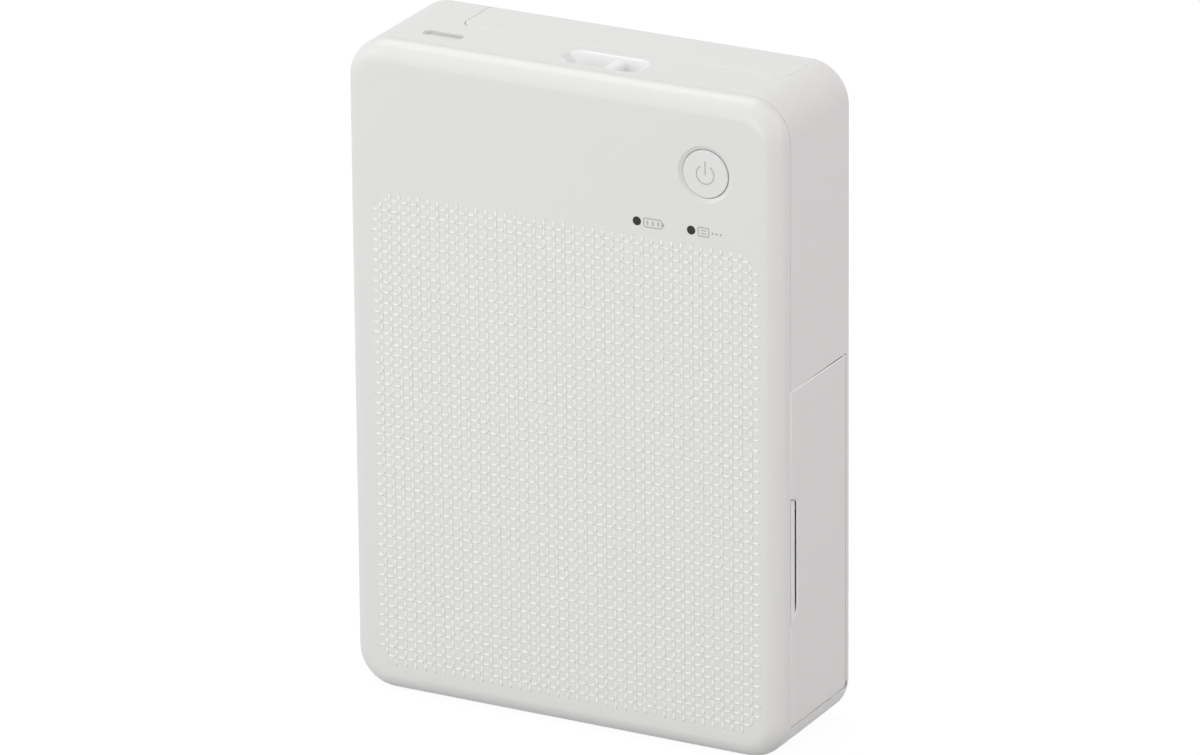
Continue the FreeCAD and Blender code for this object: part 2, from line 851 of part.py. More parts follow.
def make_paper_cover():
    shell = body_block(0).cut(body_block(wall))
    panel = shell.common(flange_block(0))
    edge = rod_x(cover_left, cover_right, cover_axis_y, cover_axis_z, wall / 2)
    parts = [edge]
    for x in pressure_pin_xs():
        for z in pressure_pin_zs():
            parts.append(rod_y(x, z, stack_back + plate_sheet / 2, back - wall / 2, guide_pin_radius))
    cover = panel.multiFuse(parts)
    bore = cover_pin_radius + shaft_gap
    half = cover_pin_length / 2 + clearance
    holes = [rod_x(cover_left - overrun, cover_left + half, cover_axis_y, cover_axis_z, bore),
             rod_x(cover_right - half, cover_right + overrun, cover_axis_y, cover_axis_z, bore)]
    for x in (cover_left + foot_high_inset, cover_right - foot_high_inset):
        holes.append(rod_y(x, top - foot_high_from_top, back - foot_seat, back + overrun, foot_radius))
    cover = cover.cut(holes)
    save("paper_cover", cover)
    half = cover_pin_length / 2
    pins = [rod_x(cover_left - half, cover_left + half, cover_axis_y, cover_axis_z, cover_pin_radius),
            rod_x(cover_right - half, cover_right + half, cover_axis_y, cover_axis_z, cover_pin_radius)]
    save("cover_hinge_pins", *pins)


def make_ink_door():
    outer = body_block(0)
    door = box(inner_right, right + overrun, door_front, door_axis_y, door_bottom, door_top)
    nose = box(door_axis_x, right + overrun, door_axis_y, door_back, door_bottom, door_top)
    hinge_edge = rod_z(door_axis_x, door_axis_y, door_bottom, door_top, wall / 2)
    door = door.multiFuse([hinge_edge, nose]).common(outer)
    door = door.cut(prism_x(notch_points(0), inner_right - overrun, right + overrun))
    notch_back = door_front + notch_depth
    rim = [e for e in edges_in_plane(door, vector(1, 0, 0), right)
           if all(door_front - seam < v.Y < notch_back + seam and notch_bottom - seam < v.Z < notch_top + seam
                  for v in e.Vertexes)]
    door = door.makeChamfer(notch_chamfer, rim)
    door = door.cut(box(inner_right - overrun, right - grip_lip, door_front, notch_back + grip_depth,
                        notch_bottom + notch_taper, notch_top - notch_fall - notch_corner))
    hook_y0 = parting + ledge_width + door_hook_gap
    hook_z = notch_top + door_hook_width
    hook = box(ledge_x0 - seam, inner_right + wall / 2, hook_y0, hook_y0 + door_hook_thick,
               hook_z - door_hook_width / 2, hook_z + door_hook_width / 2)
    bore = door_pin_radius + shaft_gap
    deep = door_pin_in_door + clearance
    holes = [rod_z(door_axis_x, door_axis_y, door_bottom - overrun, door_bottom + deep, bore),
             rod_z(door_axis_x, door_axis_y, door_top - deep, door_top + overrun, bore)]
    door = door.fuse(hook).cut(holes)
    save("ink_door", door)
    save("door_hinge_pins",
         rod_z(door_axis_x, door_axis_y, door_bottom - door_pin_in_case, door_bottom + door_pin_in_door,
               door_pin_radius),
         rod_z(door_axis_x, door_axis_y, door_top - door_pin_in_door, door_top + door_pin_in_case,
               door_pin_radius))


def make_front_controls():
    face = front + button_sink
    disc = rod_y(button_x, button_z, face, face + button_thick, button_radius)
    edge = edges_in_plane(disc, vector(0, 1, 0), face)
    disc = disc.makeFillet(button_sink, edge)
    flange_y = inner_front + shaft_gap
    flange_end = flange_y + button_flange_thick
    flange = rod_y(button_x, button_z, flange_y, flange_end, button_radius + button_flange)
    neck = rod_y(button_x, button_z, face + button_thick / 2, flange_end, button_radius)
    stem_end = board_y0 - switch_thick - plunger_reach - plunger_gap - button_travel
    stem = rod_y(button_x, button_z, face + button_thick / 2, stem_end, button_stem_radius)
    save("power_button", disc.multiFuse([neck, flange, stem]))
    lamp_gap = board_y0 - lamp_thick - clearance
    for name, x in (("charge_lens", charge_x), ("status_lens", status_x)):
        lens = rod_y(x, light_z, front, inner_front + light_flange_thick, light_radius)
        rim = rod_y(x, light_z, inner_front, inner_front + light_flange_thick, light_radius + light_flange)
        pipe = rod_y(x, light_z, inner_front, lamp_gap, light_pipe_radius)
        save(name, lens.multiFuse([rim, pipe]))


def make_screws_and_feet():
    screws = []
    for x, z in boss_places():
        head_y = back - screw_recess
        head = rod_y(x, z, head_y, head_y + screw_head_thick, screw_head_radius)
        slot = screw_head_radius / 4
        cross = box(x - screw_head_radius, x + screw_head_radius, head_y + screw_head_thick / 2, back,
                    z - slot / 2, z + slot / 2)
        cross = cross.fuse(box(x - slot / 2, x + slot / 2, head_y + screw_head_thick / 2, back,
                               z - screw_head_radius, z + screw_head_radius))
        round_tool = rod_y(x, z, head_y, back + overrun, screw_head_radius * 2 / 3)
        shank = rod_y(x, z, inner_front + screw_end_gap, head_y, screw_radius)
        screws.append(head.cut(cross.common(round_tool)).fuse(shank))
    save("case_screws", *screws)
    small = []
    for x, z in plate_tab_places():
        head_y = plate_back - plate_thick
        small.append(rod_y(x, z, head_y - tab_screw_head_thick, head_y, tab_screw_head).fuse(
            rod_y(x, z, head_y - tab_screw_head_thick, back - wall / 2 - seam, tab_screw_radius)))
    for x, z in board_post_places():
        small.append(rod_y(x, z, board_y1, board_y1 + tab_screw_head_thick, tab_screw_head).fuse(
            rod_y(x, z, inner_front + screw_end_gap, board_y1, board_screw_radius)))
    save("frame_screws", *small)
    feet = []
    for side in (-1, 1):
        feet.append(foot(side * (body_width / 2 - foot_low_inset), foot_low_height))
    save("rear_feet", *feet)
    save("cover_feet", foot(cover_left + foot_high_inset, top - foot_high_from_top),
         foot(cover_right - foot_high_inset, top - foot_high_from_top))


def foot(x, z):
    """A rubber pad let into the back."""
    pad = rod_y(x, z, back - foot_seat, back + foot_stand, foot_radius)
    return pad.makeFillet(foot_stand / 2, edges_in_plane(pad, vector(0, 1, 0), back + foot_stand))


def make_strap_pocket():
    below_wall = box(left, right, front, back, 0, inner_top)
    shell = recess_dish(recess_wall).common(below_wall).cut(recess_dish(0))
    save("strap_pocket", shell.cut(make_bar()))
    save("strap_bar", make_bar())


def shaft_places():
    """Shafts that run in bushes in both side plates, as (y, z)."""
    return [(platen_y, platen_height), capstan_at, pickup_at]


def plate_window():
    """The way through the right side plate that the ink cassette slides in by."""
    low = takeup_height - tube_radius - wide_gap
    high = supply_height + tube_radius + wide_gap
    neck_low = takeup_height + tube_radius + wide_gap
    neck_high = film_guide_height + film_lip_thick
    x0 = right_plate_x0 - overrun
    x1 = right_plate_x1 + overrun
    y0 = plate_front - overrun
    wide = box(x0, x1, y0, film_back + wide_gap, neck_high, high)
    waist = box(x0, x1, y0, pinch_y - pinch_journal_radius - beam_thick, neck_low - seam, neck_high + seam)
    foot_space = box(x0, x1, y0, tube_y + tube_radius + clearance, low, neck_low)
    return wide.multiFuse([waist, foot_space])


def side_plate(x0, x1, high, inward, tab_places):
    """A steel side plate with its bent screw tabs and shaft holes."""
    plate = box(x0, x1, plate_front, plate_back, plate_bottom, high)
    tabs = []
    for z in tab_places:
        tab_x0, tab_x1 = (x0, x1 + tab_length) if inward > 0 else (x0 - tab_length, x1)
        tabs.append(box(tab_x0, tab_x1, plate_back - plate_thick, plate_back, z, z + tab_height))
    plate = plate.multiFuse(tabs)
    holes = []
    for y, z in shaft_places():
        holes.append(rod_x(x0 - overrun, x1 + overrun, y, z, shaft_radius + shaft_gap + bush_wall))
    holes.append(rod_x(x0 - overrun, x1 + overrun, pinch_y, capstan_height, pinch_journal_radius + shaft_gap))
    for y, z in cross_bar_places():
        holes.append(rod_x(x0 - overrun, x1 + overrun, y, z, cross_bar_radius))
    for x, z in plate_tab_places():
        holes.append(rod_y(x, z, plate_back - overrun, plate_back + overrun, tab_screw_radius))
    return plate.cut(holes)


def cross_bar_places():
    upper_height = motor_height - motor_radius - upper_bar_below_motor - cross_bar_radius
    return [(back - rear_bar_from_back, rear_bar_height), (tray_front - upper_bar_from_tray, upper_height)]


def make_side_plates():
    left_plate = side_plate(left_plate_x0, left_plate_x1, left_plate_top, 1, (tab_low, left_tab_high))
    holes = []
    hole_x0 = left_plate_x0 - overrun
    hole_x1 = left_plate_x1 + overrun
    for y, z in (first_at, second_at, third_at):
        holes.append(rod_x(hole_x0, hole_x1, y, z, axle_radius))
    holes.append(rod_x(hole_x0, hole_x1, motor_y, motor_height, motor_boss_radius))
    holes.append(rod_x(hole_x0, hole_x1, tube_y, takeup_height, dog_radius + shaft_gap))
    save("left_side_plate", left_plate.cut(holes))
    right_plate = side_plate(right_plate_x0, right_plate_x1, right_plate_top, -1, (tab_low, right_tab_high))
    save("right_side_plate", right_plate.cut(plate_window()))
    bars = []
    for y, z in cross_bar_places():
        bars.append(rod_x(left_plate_x0, right_plate_x1, y, z, cross_bar_radius))
    save("cross_bars", *bars)


def make_rollers():
    bushes = []
    for y, z in shaft_places():
        outer = shaft_radius + shaft_gap + bush_wall
        bore = shaft_radius + shaft_gap
        for x0, x1, flange_x0 in ((left_plate_x0, left_plate_x1, left_plate_x1),
                                  (right_plate_x0, right_plate_x1, right_plate_x0 - bush_flange_thick)):
            sleeve = tube_x(x0, x1, y, z, outer, bore)
            flange = tube_x(flange_x0, flange_x0 + bush_flange_thick, y, z, outer + bush_flange, bore)
            bushes.append(sleeve.fuse(flange))
    save("roller_bushes", *bushes)
    bearing_end = right_plate_x1 + shaft_end
    save("platen_roller", tube_x(roller_x0, roller_x1, platen_y, platen_height, platen_radius, shaft_radius))
    save("platen_shaft", rod_x(left_plate_x0 - shaft_end, bearing_end, platen_y, platen_height, shaft_radius))
    barrel = rod_x(roller_x0, roller_x1, capstan_y, capstan_height, capstan_radius)
    save("capstan_roller", barrel.fuse(rod_x(gear_x0, bearing_end, capstan_y, capstan_height, shaft_radius)))
    save("capstan_gear", gear(capstan_at, capstan_teeth, capstan_phase, shaft_radius))
    pinch = rod_x(roller_x0, roller_x1, pinch_y, capstan_height, pinch_radius)
    save("pinch_roller", pinch.fuse(rod_x(left_plate_x0, right_plate_x1, pinch_y, capstan_height,
                                          pinch_journal_radius)))
    tyres = []
    for place in (-1, 0, 1):
        middle = paper_mid + place * pickup_spacing
        tyres.append(tube_x(middle - pickup_width / 2, middle + pickup_width / 2, pickup_y, pickup_height,
                            pickup_radius, shaft_radius))
    save("pickup_rollers", *tyres)
    save("pickup_shaft", rod_x(gear_x0, bearing_end, pickup_y, pickup_height, shaft_radius))
    save("pickup_gear", gear(pickup_at, pickup_teeth, pickup_phase, shaft_radius))


def make_gear_train():
    save("first_idler_gear", idler(first_at, first_idler_teeth, first_phase))
    save("second_idler_gear", idler(second_at, second_idler_teeth, second_phase))
    save("third_idler_gear", idler(third_at, third_idler_teeth, third_phase))
    axles = []
    for y, z in (first_at, second_at, third_at):
        axles.append(rod_x(gear_x0 - axle_head, left_plate_x1, y, z, axle_radius))
    save("gear_axles", *axles)
    pinion = gear(motor_at, pinion_teeth, pinion_phase, motor_shaft_radius)
    hub = rod_x(gear_x1, left_plate_x0 - motor_boss_thick - hub_gap, motor_y, motor_height,
                motor_boss_radius - hub_gap)
    shaft = rod_x(gear_x0, left_plate_x1 + motor_bearing_depth, motor_y, motor_height, motor_shaft_radius)
    save("motor_pinion", pinion.multiFuse([hub, shaft]))
    can = rod_x(left_plate_x1, left_plate_x1 + motor_length, motor_y, motor_height, motor_radius)
    flat = motor_radius * motor_flat_share
    can = can.common(box(left_plate_x1, left_plate_x1 + motor_length, motor_y - flat, motor_y + flat,
                         motor_height - motor_radius, motor_height + motor_radius))
    boss = rod_x(left_plate_x0 - motor_boss_thick, left_plate_x1, motor_y, motor_height, motor_boss_radius)
    bearing = rod_x(gear_x0, left_plate_x1 + motor_bearing_depth + hub_gap, motor_y, motor_height,
                    motor_shaft_radius + shaft_gap)
    save("drive_motor", can.fuse(boss).cut(bearing))


def make_cassette():
    tubes = []
    spaces = []
    for y, z in (supply_at, takeup_at):
        tubes.append(rod_x(cassette_x0, cassette_x1, y, z, tube_radius))
        spaces.append(rod_x(cassette_x0 + cassette_cap, cassette_x1 - cassette_cap, y, z,
                            tube_radius - tube_wall))
        spaces.append(rod_x(cassette_x0 - overrun, cassette_x1 + overrun, y, z, spool_radius + shaft_gap))
    bridge = box(cassette_x0, cassette_x1, bridge_front, bridge_back, takeup_height, supply_height)
    guide_y = pinch_y - pinch_radius - film_pinch_gap
    slit_y = (guide_y + tube_y + takeup_roll_radius) / 2
    lip_y1 = guide_y - film_thick / 2 - seam
    lip = box(cassette_x0, cassette_x1, lip_y1 - film_lip_thick, lip_y1,
              takeup_height + tube_radius - tube_wall, film_guide_height - clearance)
    middle = (supply_height + takeup_height) / 2
    grip = box(cassette_x1 - cassette_cap, cassette_x1 + grip_reach, bridge_front, bridge_back,
               middle - grip_width / 2, middle + grip_width / 2)
    supply_film_y = tube_y + supply_roll_radius
    slits = [box(cassette_x0 + cassette_cap, cassette_x1 - cassette_cap, supply_film_y - film_slit / 2,
                 supply_film_y + film_slit, supply_height - tube_radius - overrun, supply_height - tube_wall),
             box(cassette_x0 + cassette_cap, cassette_x1 - cassette_cap, slit_y - film_slit / 2,
                 slit_y + film_slit / 2, takeup_height + tube_wall, takeup_height + tube_radius + overrun)]
    frame = tubes[0].multiFuse([tubes[1], bridge, lip, grip]).cut(spaces + slits)
    save("cassette_frame", frame)

    for name, roll_name, at, roll in (("supply_spool", "supply_roll", supply_at, supply_roll_radius),
                                      ("takeup_spool", "takeup_roll", takeup_at, takeup_roll_radius)):
        core = rod_x(cassette_x0, cassette_x1, at[0], at[1], spool_radius)
        inner_x0 = cassette_x0 + cassette_cap + clearance
        inner_x1 = cassette_x1 - cassette_cap - clearance
        flanges = [rod_x(inner_x0, inner_x0 + spool_flange_thick, at[0], at[1], spool_flange_radius),
                   rod_x(inner_x1 - spool_flange_thick, inner_x1, at[0], at[1], spool_flange_radius)]
        socket = rod_x(cassette_x0 - overrun, cassette_x0 + dog_depth, at[0], at[1], dog_radius)
        save(name, core.multiFuse(flanges).cut(socket))
        film_x0 = inner_x0 + film_inset
        film_x1 = inner_x1 - film_inset
        save(roll_name, tube_x(film_x0, film_x1, at[0], at[1], roll, spool_radius))

    film_mid = (film_back + film_front) / 2
    film_end = film_thick + seam
    points = [(supply_film_y + film_end, supply_height - tube_wall * 2),
              (supply_film_y + film_end, supply_height - tube_radius),
              (film_mid, platen_height + film_entry_rise),
              (film_mid, platen_height - film_peel_drop),
              (guide_y, film_guide_height),
              (tube_y + takeup_roll_radius + film_end, takeup_height + tube_wall)]
    film_x0 = cassette_x0 + cassette_cap + clearance + film_inset
    film_x1 = cassette_x1 - cassette_cap - clearance - film_inset
    save("ribbon_film", bent_strip(points, film_thick, film_x0, film_x1))

    stub = rod_x(gear_x0, cassette_x0 + dog_depth - seam, takeup_at[0], takeup_at[1], dog_radius)
    wheel = gear(takeup_at, ribbon_teeth, ribbon_phase, dog_radius / 2)
    save("ribbon_drive_gear", wheel.fuse(stub))


def make_print_head():
    ear_x0 = left_plate_x1 + beam_ear_inset
    ear_x1 = cassette_x1 - beam_ear_inset / 2
    web = box(left_plate_x1, ear_x1, beam_y0, beam_y1, beam_low, beam_high)
    lips = [box(left_plate_x1, ear_x1, beam_y0, beam_y1 + beam_lip, beam_high - beam_thick, beam_high),
            box(left_plate_x1, left_plate_x1 + beam_thick, beam_y0, beam_y1 + beam_lip, beam_low, beam_high)]
    for x in (ear_x0, ear_x1 - ear_thick):
        lips.append(box(x, x + ear_thick, beam_y0, pivot_y + pivot_radius * 2,
                        pivot_height - pivot_radius * 2, beam_high))
    beam = web.multiFuse(lips)
    rod = rod_x(ear_x0 - shaft_end, ear_x1 + shaft_end, pivot_y, pivot_height, pivot_radius)
    save("head_beam", beam.cut(rod))
    save("head_pivot_rod", rod)

    arm_x0 = ear_x0 + ear_thick + arm_ear_gap
    arm_x1 = ear_x1 - ear_thick - arm_ear_gap
    arm = box(arm_x0, arm_x1, arm_y0, arm_y1, arm_low, arm_high)
    ears = []
    for x in (arm_x0, arm_x1 - ear_thick):
        ears.append(box(x, x + ear_thick, pivot_y - arm_ear_reach, arm_y1,
                        arm_high - beam_lip, pivot_height + pivot_radius * 2))
    arm = arm.multiFuse(ears)
    hole = rod_x(arm_x0 - overrun, arm_x1 + overrun, pivot_y, pivot_height, pivot_radius + shaft_gap)
    save("head_arm", arm.cut(hole))
    head = box(arm_x0 + head_end_inset, arm_x1 - head_end_inset, head_y0, head_back_y, head_low, head_high)
    save("head_heat_sink", head)
    strip = box(arm_x0 + head_end_inset, arm_x1 - head_end_inset, head_back_y, head_face - bead_stand,
                ceramic_low, ceramic_high)
    bead = rod_x(arm_x0 + head_end_inset, arm_x1 - head_end_inset, head_face - bead_radius, platen_height,
                 bead_radius)
    bead = bead.common(box(arm_x0, arm_x1, head_back_y, film_back, ceramic_low, ceramic_high))
    save("print_head", strip.fuse(bead))
    springs = []
    half = head_spring_width / 2
    for place in (-1, 0, 1):
        middle = paper_mid + place * head_spring_spacing
        y0 = beam_y1 + leaf_thick / 2
        y1 = arm_y0 - leaf_thick / 2
        points = [(y0, arm_high - leaf_foot), (y0, arm_high - leaf_foot * 2), (y1, arm_low + leaf_foot),
                  (y1, arm_low + leaf_foot / 2)]
        springs.append(bent_strip(points, leaf_thick, middle - half, middle + half))
    save("head_springs", *springs)
    flex_x0 = left_plate_x1 + (cassette_x0 - left_plate_x1 - flex_width) / 2
    motor_run = motor_y - motor_radius * motor_flat_share - clearance
    board_run = board_y0 - flex_thick
    head_run = arm_y0 - clearance
    rise_run = min(motor_run, board_run)
    points = [(head_run, head_low + head_depth), (head_run, pivot_height + pivot_radius * 3),
              (rise_run, motor_height - motor_radius - head_depth), (rise_run, motor_height + motor_radius),
              (board_run, board_bottom + socket_depth / 2)]
    save("head_flex", bent_strip(points, flex_thick, flex_x0, flex_x0 + flex_width))


def make_paper_parts():
    save("paper_stack", box(paper_x0, paper_x1, stack_front, stack_back, paper_bottom, paper_top))
    side_back = inner_back - tray_side_back_gap
    x0 = paper_x0 - tray_gap - tray_side
    x1 = paper_x1 + tray_gap + tray_side
    wall_plate = box(x0, x1, tray_front, tray_back, paper_bottom, paper_top)
    flange_thick = tray_side
    flange_high = top - boss_high_inset - boss_radius - clearance
    sides = [box(x0, x0 + tray_side, tray_front, side_back, paper_bottom, paper_top),
             box(x1 - tray_side, x1, tray_front, side_back, paper_bottom, paper_top),
             box(cover_left - seam - tray_flange, x0 + tray_side, inner_back - flange_thick, inner_back,
                 left_tab_high + tab_height + tray_side, flange_high),
             box(x1 - tray_side, cover_right + seam + tray_flange / 2, inner_back - flange_thick, inner_back,
                 right_plate_top + tray_side, flange_high)]
    tray = wall_plate.multiFuse(sides)
    tray = tray.cut(box(cover_left - seam, cover_right + seam, side_back, back, 0, top))
    windows = []
    for place in (-1, 0, 1):
        middle = paper_mid + place * pickup_spacing
        half = pickup_width / 2 + tray_window_gap
        windows.append(box(middle - half, middle + half, tray_front - overrun, tray_back + overrun,
                           paper_bottom - overrun, pickup_height + pickup_radius + tray_window_gap))
    save("paper_tray", tray.cut(windows))

    guide_back = inner_back - tray_side_back_gap
    guide_low = platen_height + platen_radius + wide_gap
    wedge = prism_x([(guide_back, paper_bottom), (stack_front - tray_gap, paper_bottom),
                     (paper_plane + guide_from_path, guide_low + guide_end_rise + guide_tip),
                     (paper_plane + guide_from_path, guide_low + guide_end_rise),
                     (platen_y, guide_low), (guide_back, guide_low)],
                    roller_x0, roller_x1)
    guide_x0 = left_plate_x1
    guide_x1 = right_plate_x0
    end_low = guide_low + guide_end_rise
    ends = [box(guide_x0, roller_x0, stack_back, guide_back - plate_thick, end_low, paper_bottom),
            box(roller_x1, guide_x1, stack_back, guide_back - plate_thick, end_low, paper_bottom)]
    low_y = paper_plane + exit_width / 2
    chute_top = capstan_height - capstan_radius - wide_gap
    chute = box(paper_x0, paper_x1, low_y, low_y + tray_side, wall, chute_top)
    save("paper_guides", wedge.multiFuse(ends), chute)


def pressure_pin_xs():
    inset = pressure_side_inset + guide_pin_inset
    return (paper_x0 + inset, paper_x1 - inset)


def pressure_pin_zs():
    low = paper_bottom + pressure_bottom_gap + guide_pin_inset
    high = paper_top - pressure_top_gap - guide_pin_inset
    return (low, high)


def make_pressure_plate():
    x0 = paper_x0 + pressure_side_inset
    x1 = paper_x1 - pressure_side_inset
    z0 = paper_bottom + pressure_bottom_gap
    z1 = paper_top - pressure_top_gap
    sheet = box(x0, x1, stack_back, stack_back + plate_sheet, z0, z1)
    edges = [box(x0, x1, stack_back, stack_back + plate_sheet + pressure_lip, z0, z0 + plate_sheet),
             box(x0, x1, stack_back, stack_back + plate_sheet + pressure_lip, z1 - plate_sheet, z1)]
    holes = []
    for x in pressure_pin_xs():
        for z in pressure_pin_zs():
            holes.append(rod_y(x, z, stack_back - overrun, back, guide_pin_radius + guide_pin_gap))
    save("pressure_plate", sheet.multiFuse(edges).cut(holes))
    leaves = []
    near = stack_back + plate_sheet + leaf_thick / 2
    far = inner_back - leaf_thick / 2
    pin_x0, pin_x1 = pressure_pin_xs()
    for x in (pin_x0 + leaf_from_pin, pin_x1 - leaf_from_pin):
        for z in (z0 + leaf_end_inset, z1 - leaf_end_inset):
            start = z - leaf_length / 2
            end = z + leaf_length / 2
            points = [(near, start), (near, start + leaf_foot), (far, end - leaf_foot), (far, end)]
            leaves.append(bent_strip(points, leaf_thick, x - leaf_width / 2, x + leaf_width / 2))
    save("plate_springs", *leaves)


def make_board():
    board = box(board_x0, board_x1, board_y0, board_y1, board_bottom, board_top)
    tab_x0 = port_x - board_tab_width / 2
    tab = box(max(tab_x0, board_x0), tab_x0 + board_tab_width, board_y0, board_y1, board_bottom,
              top - board_tab_top_gap)
    board = board.fuse(tab)
    pocket_space = box(recess_left - recess_wall, recess_right + recess_wall * 2, board_y0 - overrun,
                       board_y1 + overrun, recess_floor - recess_wall - clearance, top)
    board = board.cut(pocket_space)
    for x, z in board_post_places():
        board = board.cut(rod_y(x, z, board_y0 - overrun, board_y1 + overrun, board_screw_radius))
    save("main_board", board)

    port_z1 = top - port_setback
    port_z0 = port_z1 - port_length
    port_y1 = board_y1 + port_height
    radius = port_height / 2 - seam
    port_x0 = port_x - port_width / 2
    port_x1 = port_x + port_width / 2
    shell = rounded_plate(port_x0, port_x1, board_y1, port_y1, port_z0, port_z1, radius, vector(0, 0, 1))
    cavity = rounded_plate(port_x0 + port_wall, port_x1 - port_wall, board_y1 + port_wall,
                           port_y1 - port_wall, port_z0 + port_wall * 3, port_z1 + overrun,
                           radius - port_wall, vector(0, 0, 1))
    port_mid = (board_y1 + port_y1) / 2
    tongue = box(port_x0 + port_wall * 4, port_x1 - port_wall * 4, port_mid - port_tongue / 2,
                 port_mid + port_tongue / 2, port_z0 + port_wall * 2, port_z1 - port_wall * 2)
    save("charging_port", shell.cut(cavity).fuse(tongue))

    chip_z = (board_bottom + board_top) / 2 + chip_above_middle
    chip_x = port_x + chip_from_port
    memory_x = port_x + memory_from_port
    driver_z = board_bottom + driver_rise
    chips = [box(chip_x, chip_x + chip_size, board_y0 - chip_thick, board_y0,
                 chip_z - chip_size / 2, chip_z + chip_size / 2),
             box(memory_x, memory_x + memory_size, board_y0 - memory_thick, board_y0,
                 chip_z - memory_size / 2, chip_z + memory_size / 2),
             box(port_x, port_x + driver_size, board_y0 - memory_thick, board_y0,
                 driver_z, driver_z + driver_size),
             rod_y(port_x + coil_from_port, board_bottom + coil_rise, board_y0 - coil_thick, board_y0,
                   coil_radius)]
    save("board_chips", *chips)
    radio_x = port_x + radio_from_port
    radio_z = board_bottom + radio_rise
    save("radio_module", box(radio_x, radio_x + radio_width, board_y0 - radio_thick, board_y0,
                             radio_z, radio_z + radio_height))
    flex_mid = left_plate_x1 + (cassette_x0 - left_plate_x1) / 2
    socket_x0 = flex_mid - flex_width / 2 - flex_thick
    socket_x1 = flex_mid + socket_width / 2
    plug_z = battery_bottom + battery_plug_rise
    socket_y0 = board_y0 - socket_thick
    socket_z1 = board_bottom + socket_depth
    head_socket = box(socket_x0, socket_x1, socket_y0, board_y0 - flex_thick * 2, board_bottom, socket_z1)
    head_socket = head_socket.fuse(box(flex_mid + flex_width / 2 + flex_thick, socket_x1, socket_y0, board_y0,
                                       board_bottom, socket_z1))
    battery_socket = box(paper_mid - socket_width / 2, paper_mid + socket_width / 2, board_y1, battery_front,
                         plug_z, plug_z + socket_depth)
    save("board_sockets", head_socket, battery_socket)
    switch = box(button_x - switch_size / 2, button_x + switch_size / 2, board_y0 - switch_thick, board_y0,
                 button_z - switch_size / 2, button_z + switch_size / 2)
    plunger = rod_y(button_x, button_z, board_y0 - switch_thick - plunger_reach, board_y0 - switch_thick,
                    plunger_radius)
    save("power_switch", switch.fuse(plunger))
    lamps = []
    for x in (charge_x, status_x):
        lamps.append(box(x - lamp_size / 2, x + lamp_size / 2, board_y0 - lamp_thick, board_y0,
                         light_z - lamp_size / 2, light_z + lamp_size / 2))
    save("status_lamps", *lamps)
    battery = box(left + battery_left_gap, right - battery_right_gap, battery_front, tray_front,
                  battery_bottom, top - battery_top_gap)
    save("battery_pack", battery.makeFillet(battery_corner, edges_along(battery, vector(1, 0, 0))))


def main():
    os.makedirs("parts", exist_ok=True)
    make_front_cover()
    make_rear_case()
    make_paper_cover()
    make_ink_door()
    make_front_controls()
    make_screws_and_feet()
    make_strap_pocket()
    make_side_plates()
    make_rollers()
    make_gear_train()
    make_cassette()
    make_print_head()
    make_paper_parts()
    make_pressure_plate()
    make_board()
    for name, at in (("capstan", capstan_at), ("pickup", pickup_at), ("first idler", first_at),
                     ("second idler", second_at), ("third idler", third_at), ("motor", motor_at),
                     ("take-up", takeup_at), ("supply", supply_at), ("platen", (platen_y, platen_height)),
                     ("pinch", (pinch_y, capstan_height)), ("head pivot", (pivot_y, pivot_height)),
                     ("cover hinge", (cover_axis_y, cover_axis_z)),
                     ("door hinge x, y", (door_axis_x, door_axis_y))):
        print(name, round(at[0], 3), round(at[1], 3))


main()
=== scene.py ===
"""Compact photo printer: the finish of every shell and inner piece, the front's raised
lattice, the printed marks, and the studio that it is pictured in."""

import json
import math

import bmesh
import bpy
import numpy as np
from bpy.props import FloatProperty, FloatVectorProperty, IntProperty, PointerProperty
from mathutils import Matrix, Vector


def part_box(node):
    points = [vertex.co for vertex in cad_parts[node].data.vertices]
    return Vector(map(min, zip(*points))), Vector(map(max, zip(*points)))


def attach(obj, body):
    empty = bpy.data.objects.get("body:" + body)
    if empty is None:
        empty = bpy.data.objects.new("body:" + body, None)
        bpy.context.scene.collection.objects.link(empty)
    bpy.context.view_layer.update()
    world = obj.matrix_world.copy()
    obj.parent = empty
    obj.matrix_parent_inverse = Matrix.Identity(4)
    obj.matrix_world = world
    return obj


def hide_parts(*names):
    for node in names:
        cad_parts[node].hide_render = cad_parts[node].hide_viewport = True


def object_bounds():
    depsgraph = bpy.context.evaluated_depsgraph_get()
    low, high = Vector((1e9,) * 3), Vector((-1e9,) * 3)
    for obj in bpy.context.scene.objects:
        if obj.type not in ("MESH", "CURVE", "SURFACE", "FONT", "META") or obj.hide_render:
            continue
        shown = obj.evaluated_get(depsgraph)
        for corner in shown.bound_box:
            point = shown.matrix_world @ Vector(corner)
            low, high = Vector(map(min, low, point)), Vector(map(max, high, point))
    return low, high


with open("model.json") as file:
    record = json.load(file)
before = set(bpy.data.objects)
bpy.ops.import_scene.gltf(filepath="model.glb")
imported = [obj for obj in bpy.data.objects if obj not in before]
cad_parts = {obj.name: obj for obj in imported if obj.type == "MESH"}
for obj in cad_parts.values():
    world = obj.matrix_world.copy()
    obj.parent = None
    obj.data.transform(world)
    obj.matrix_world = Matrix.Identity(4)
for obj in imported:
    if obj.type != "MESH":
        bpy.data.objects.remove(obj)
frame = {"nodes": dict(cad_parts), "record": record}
CAD_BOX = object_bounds()

bl_info = {
    "name": "Compact photo printer",
    "version": (1, 0, 0),
    "blender": (4, 5, 0),
    "location": "3D View > Sidebar > Photo printer",
    "description": "Finishes a compact photo printer and its mechanism, and lights it",
    "category": "Object",
}

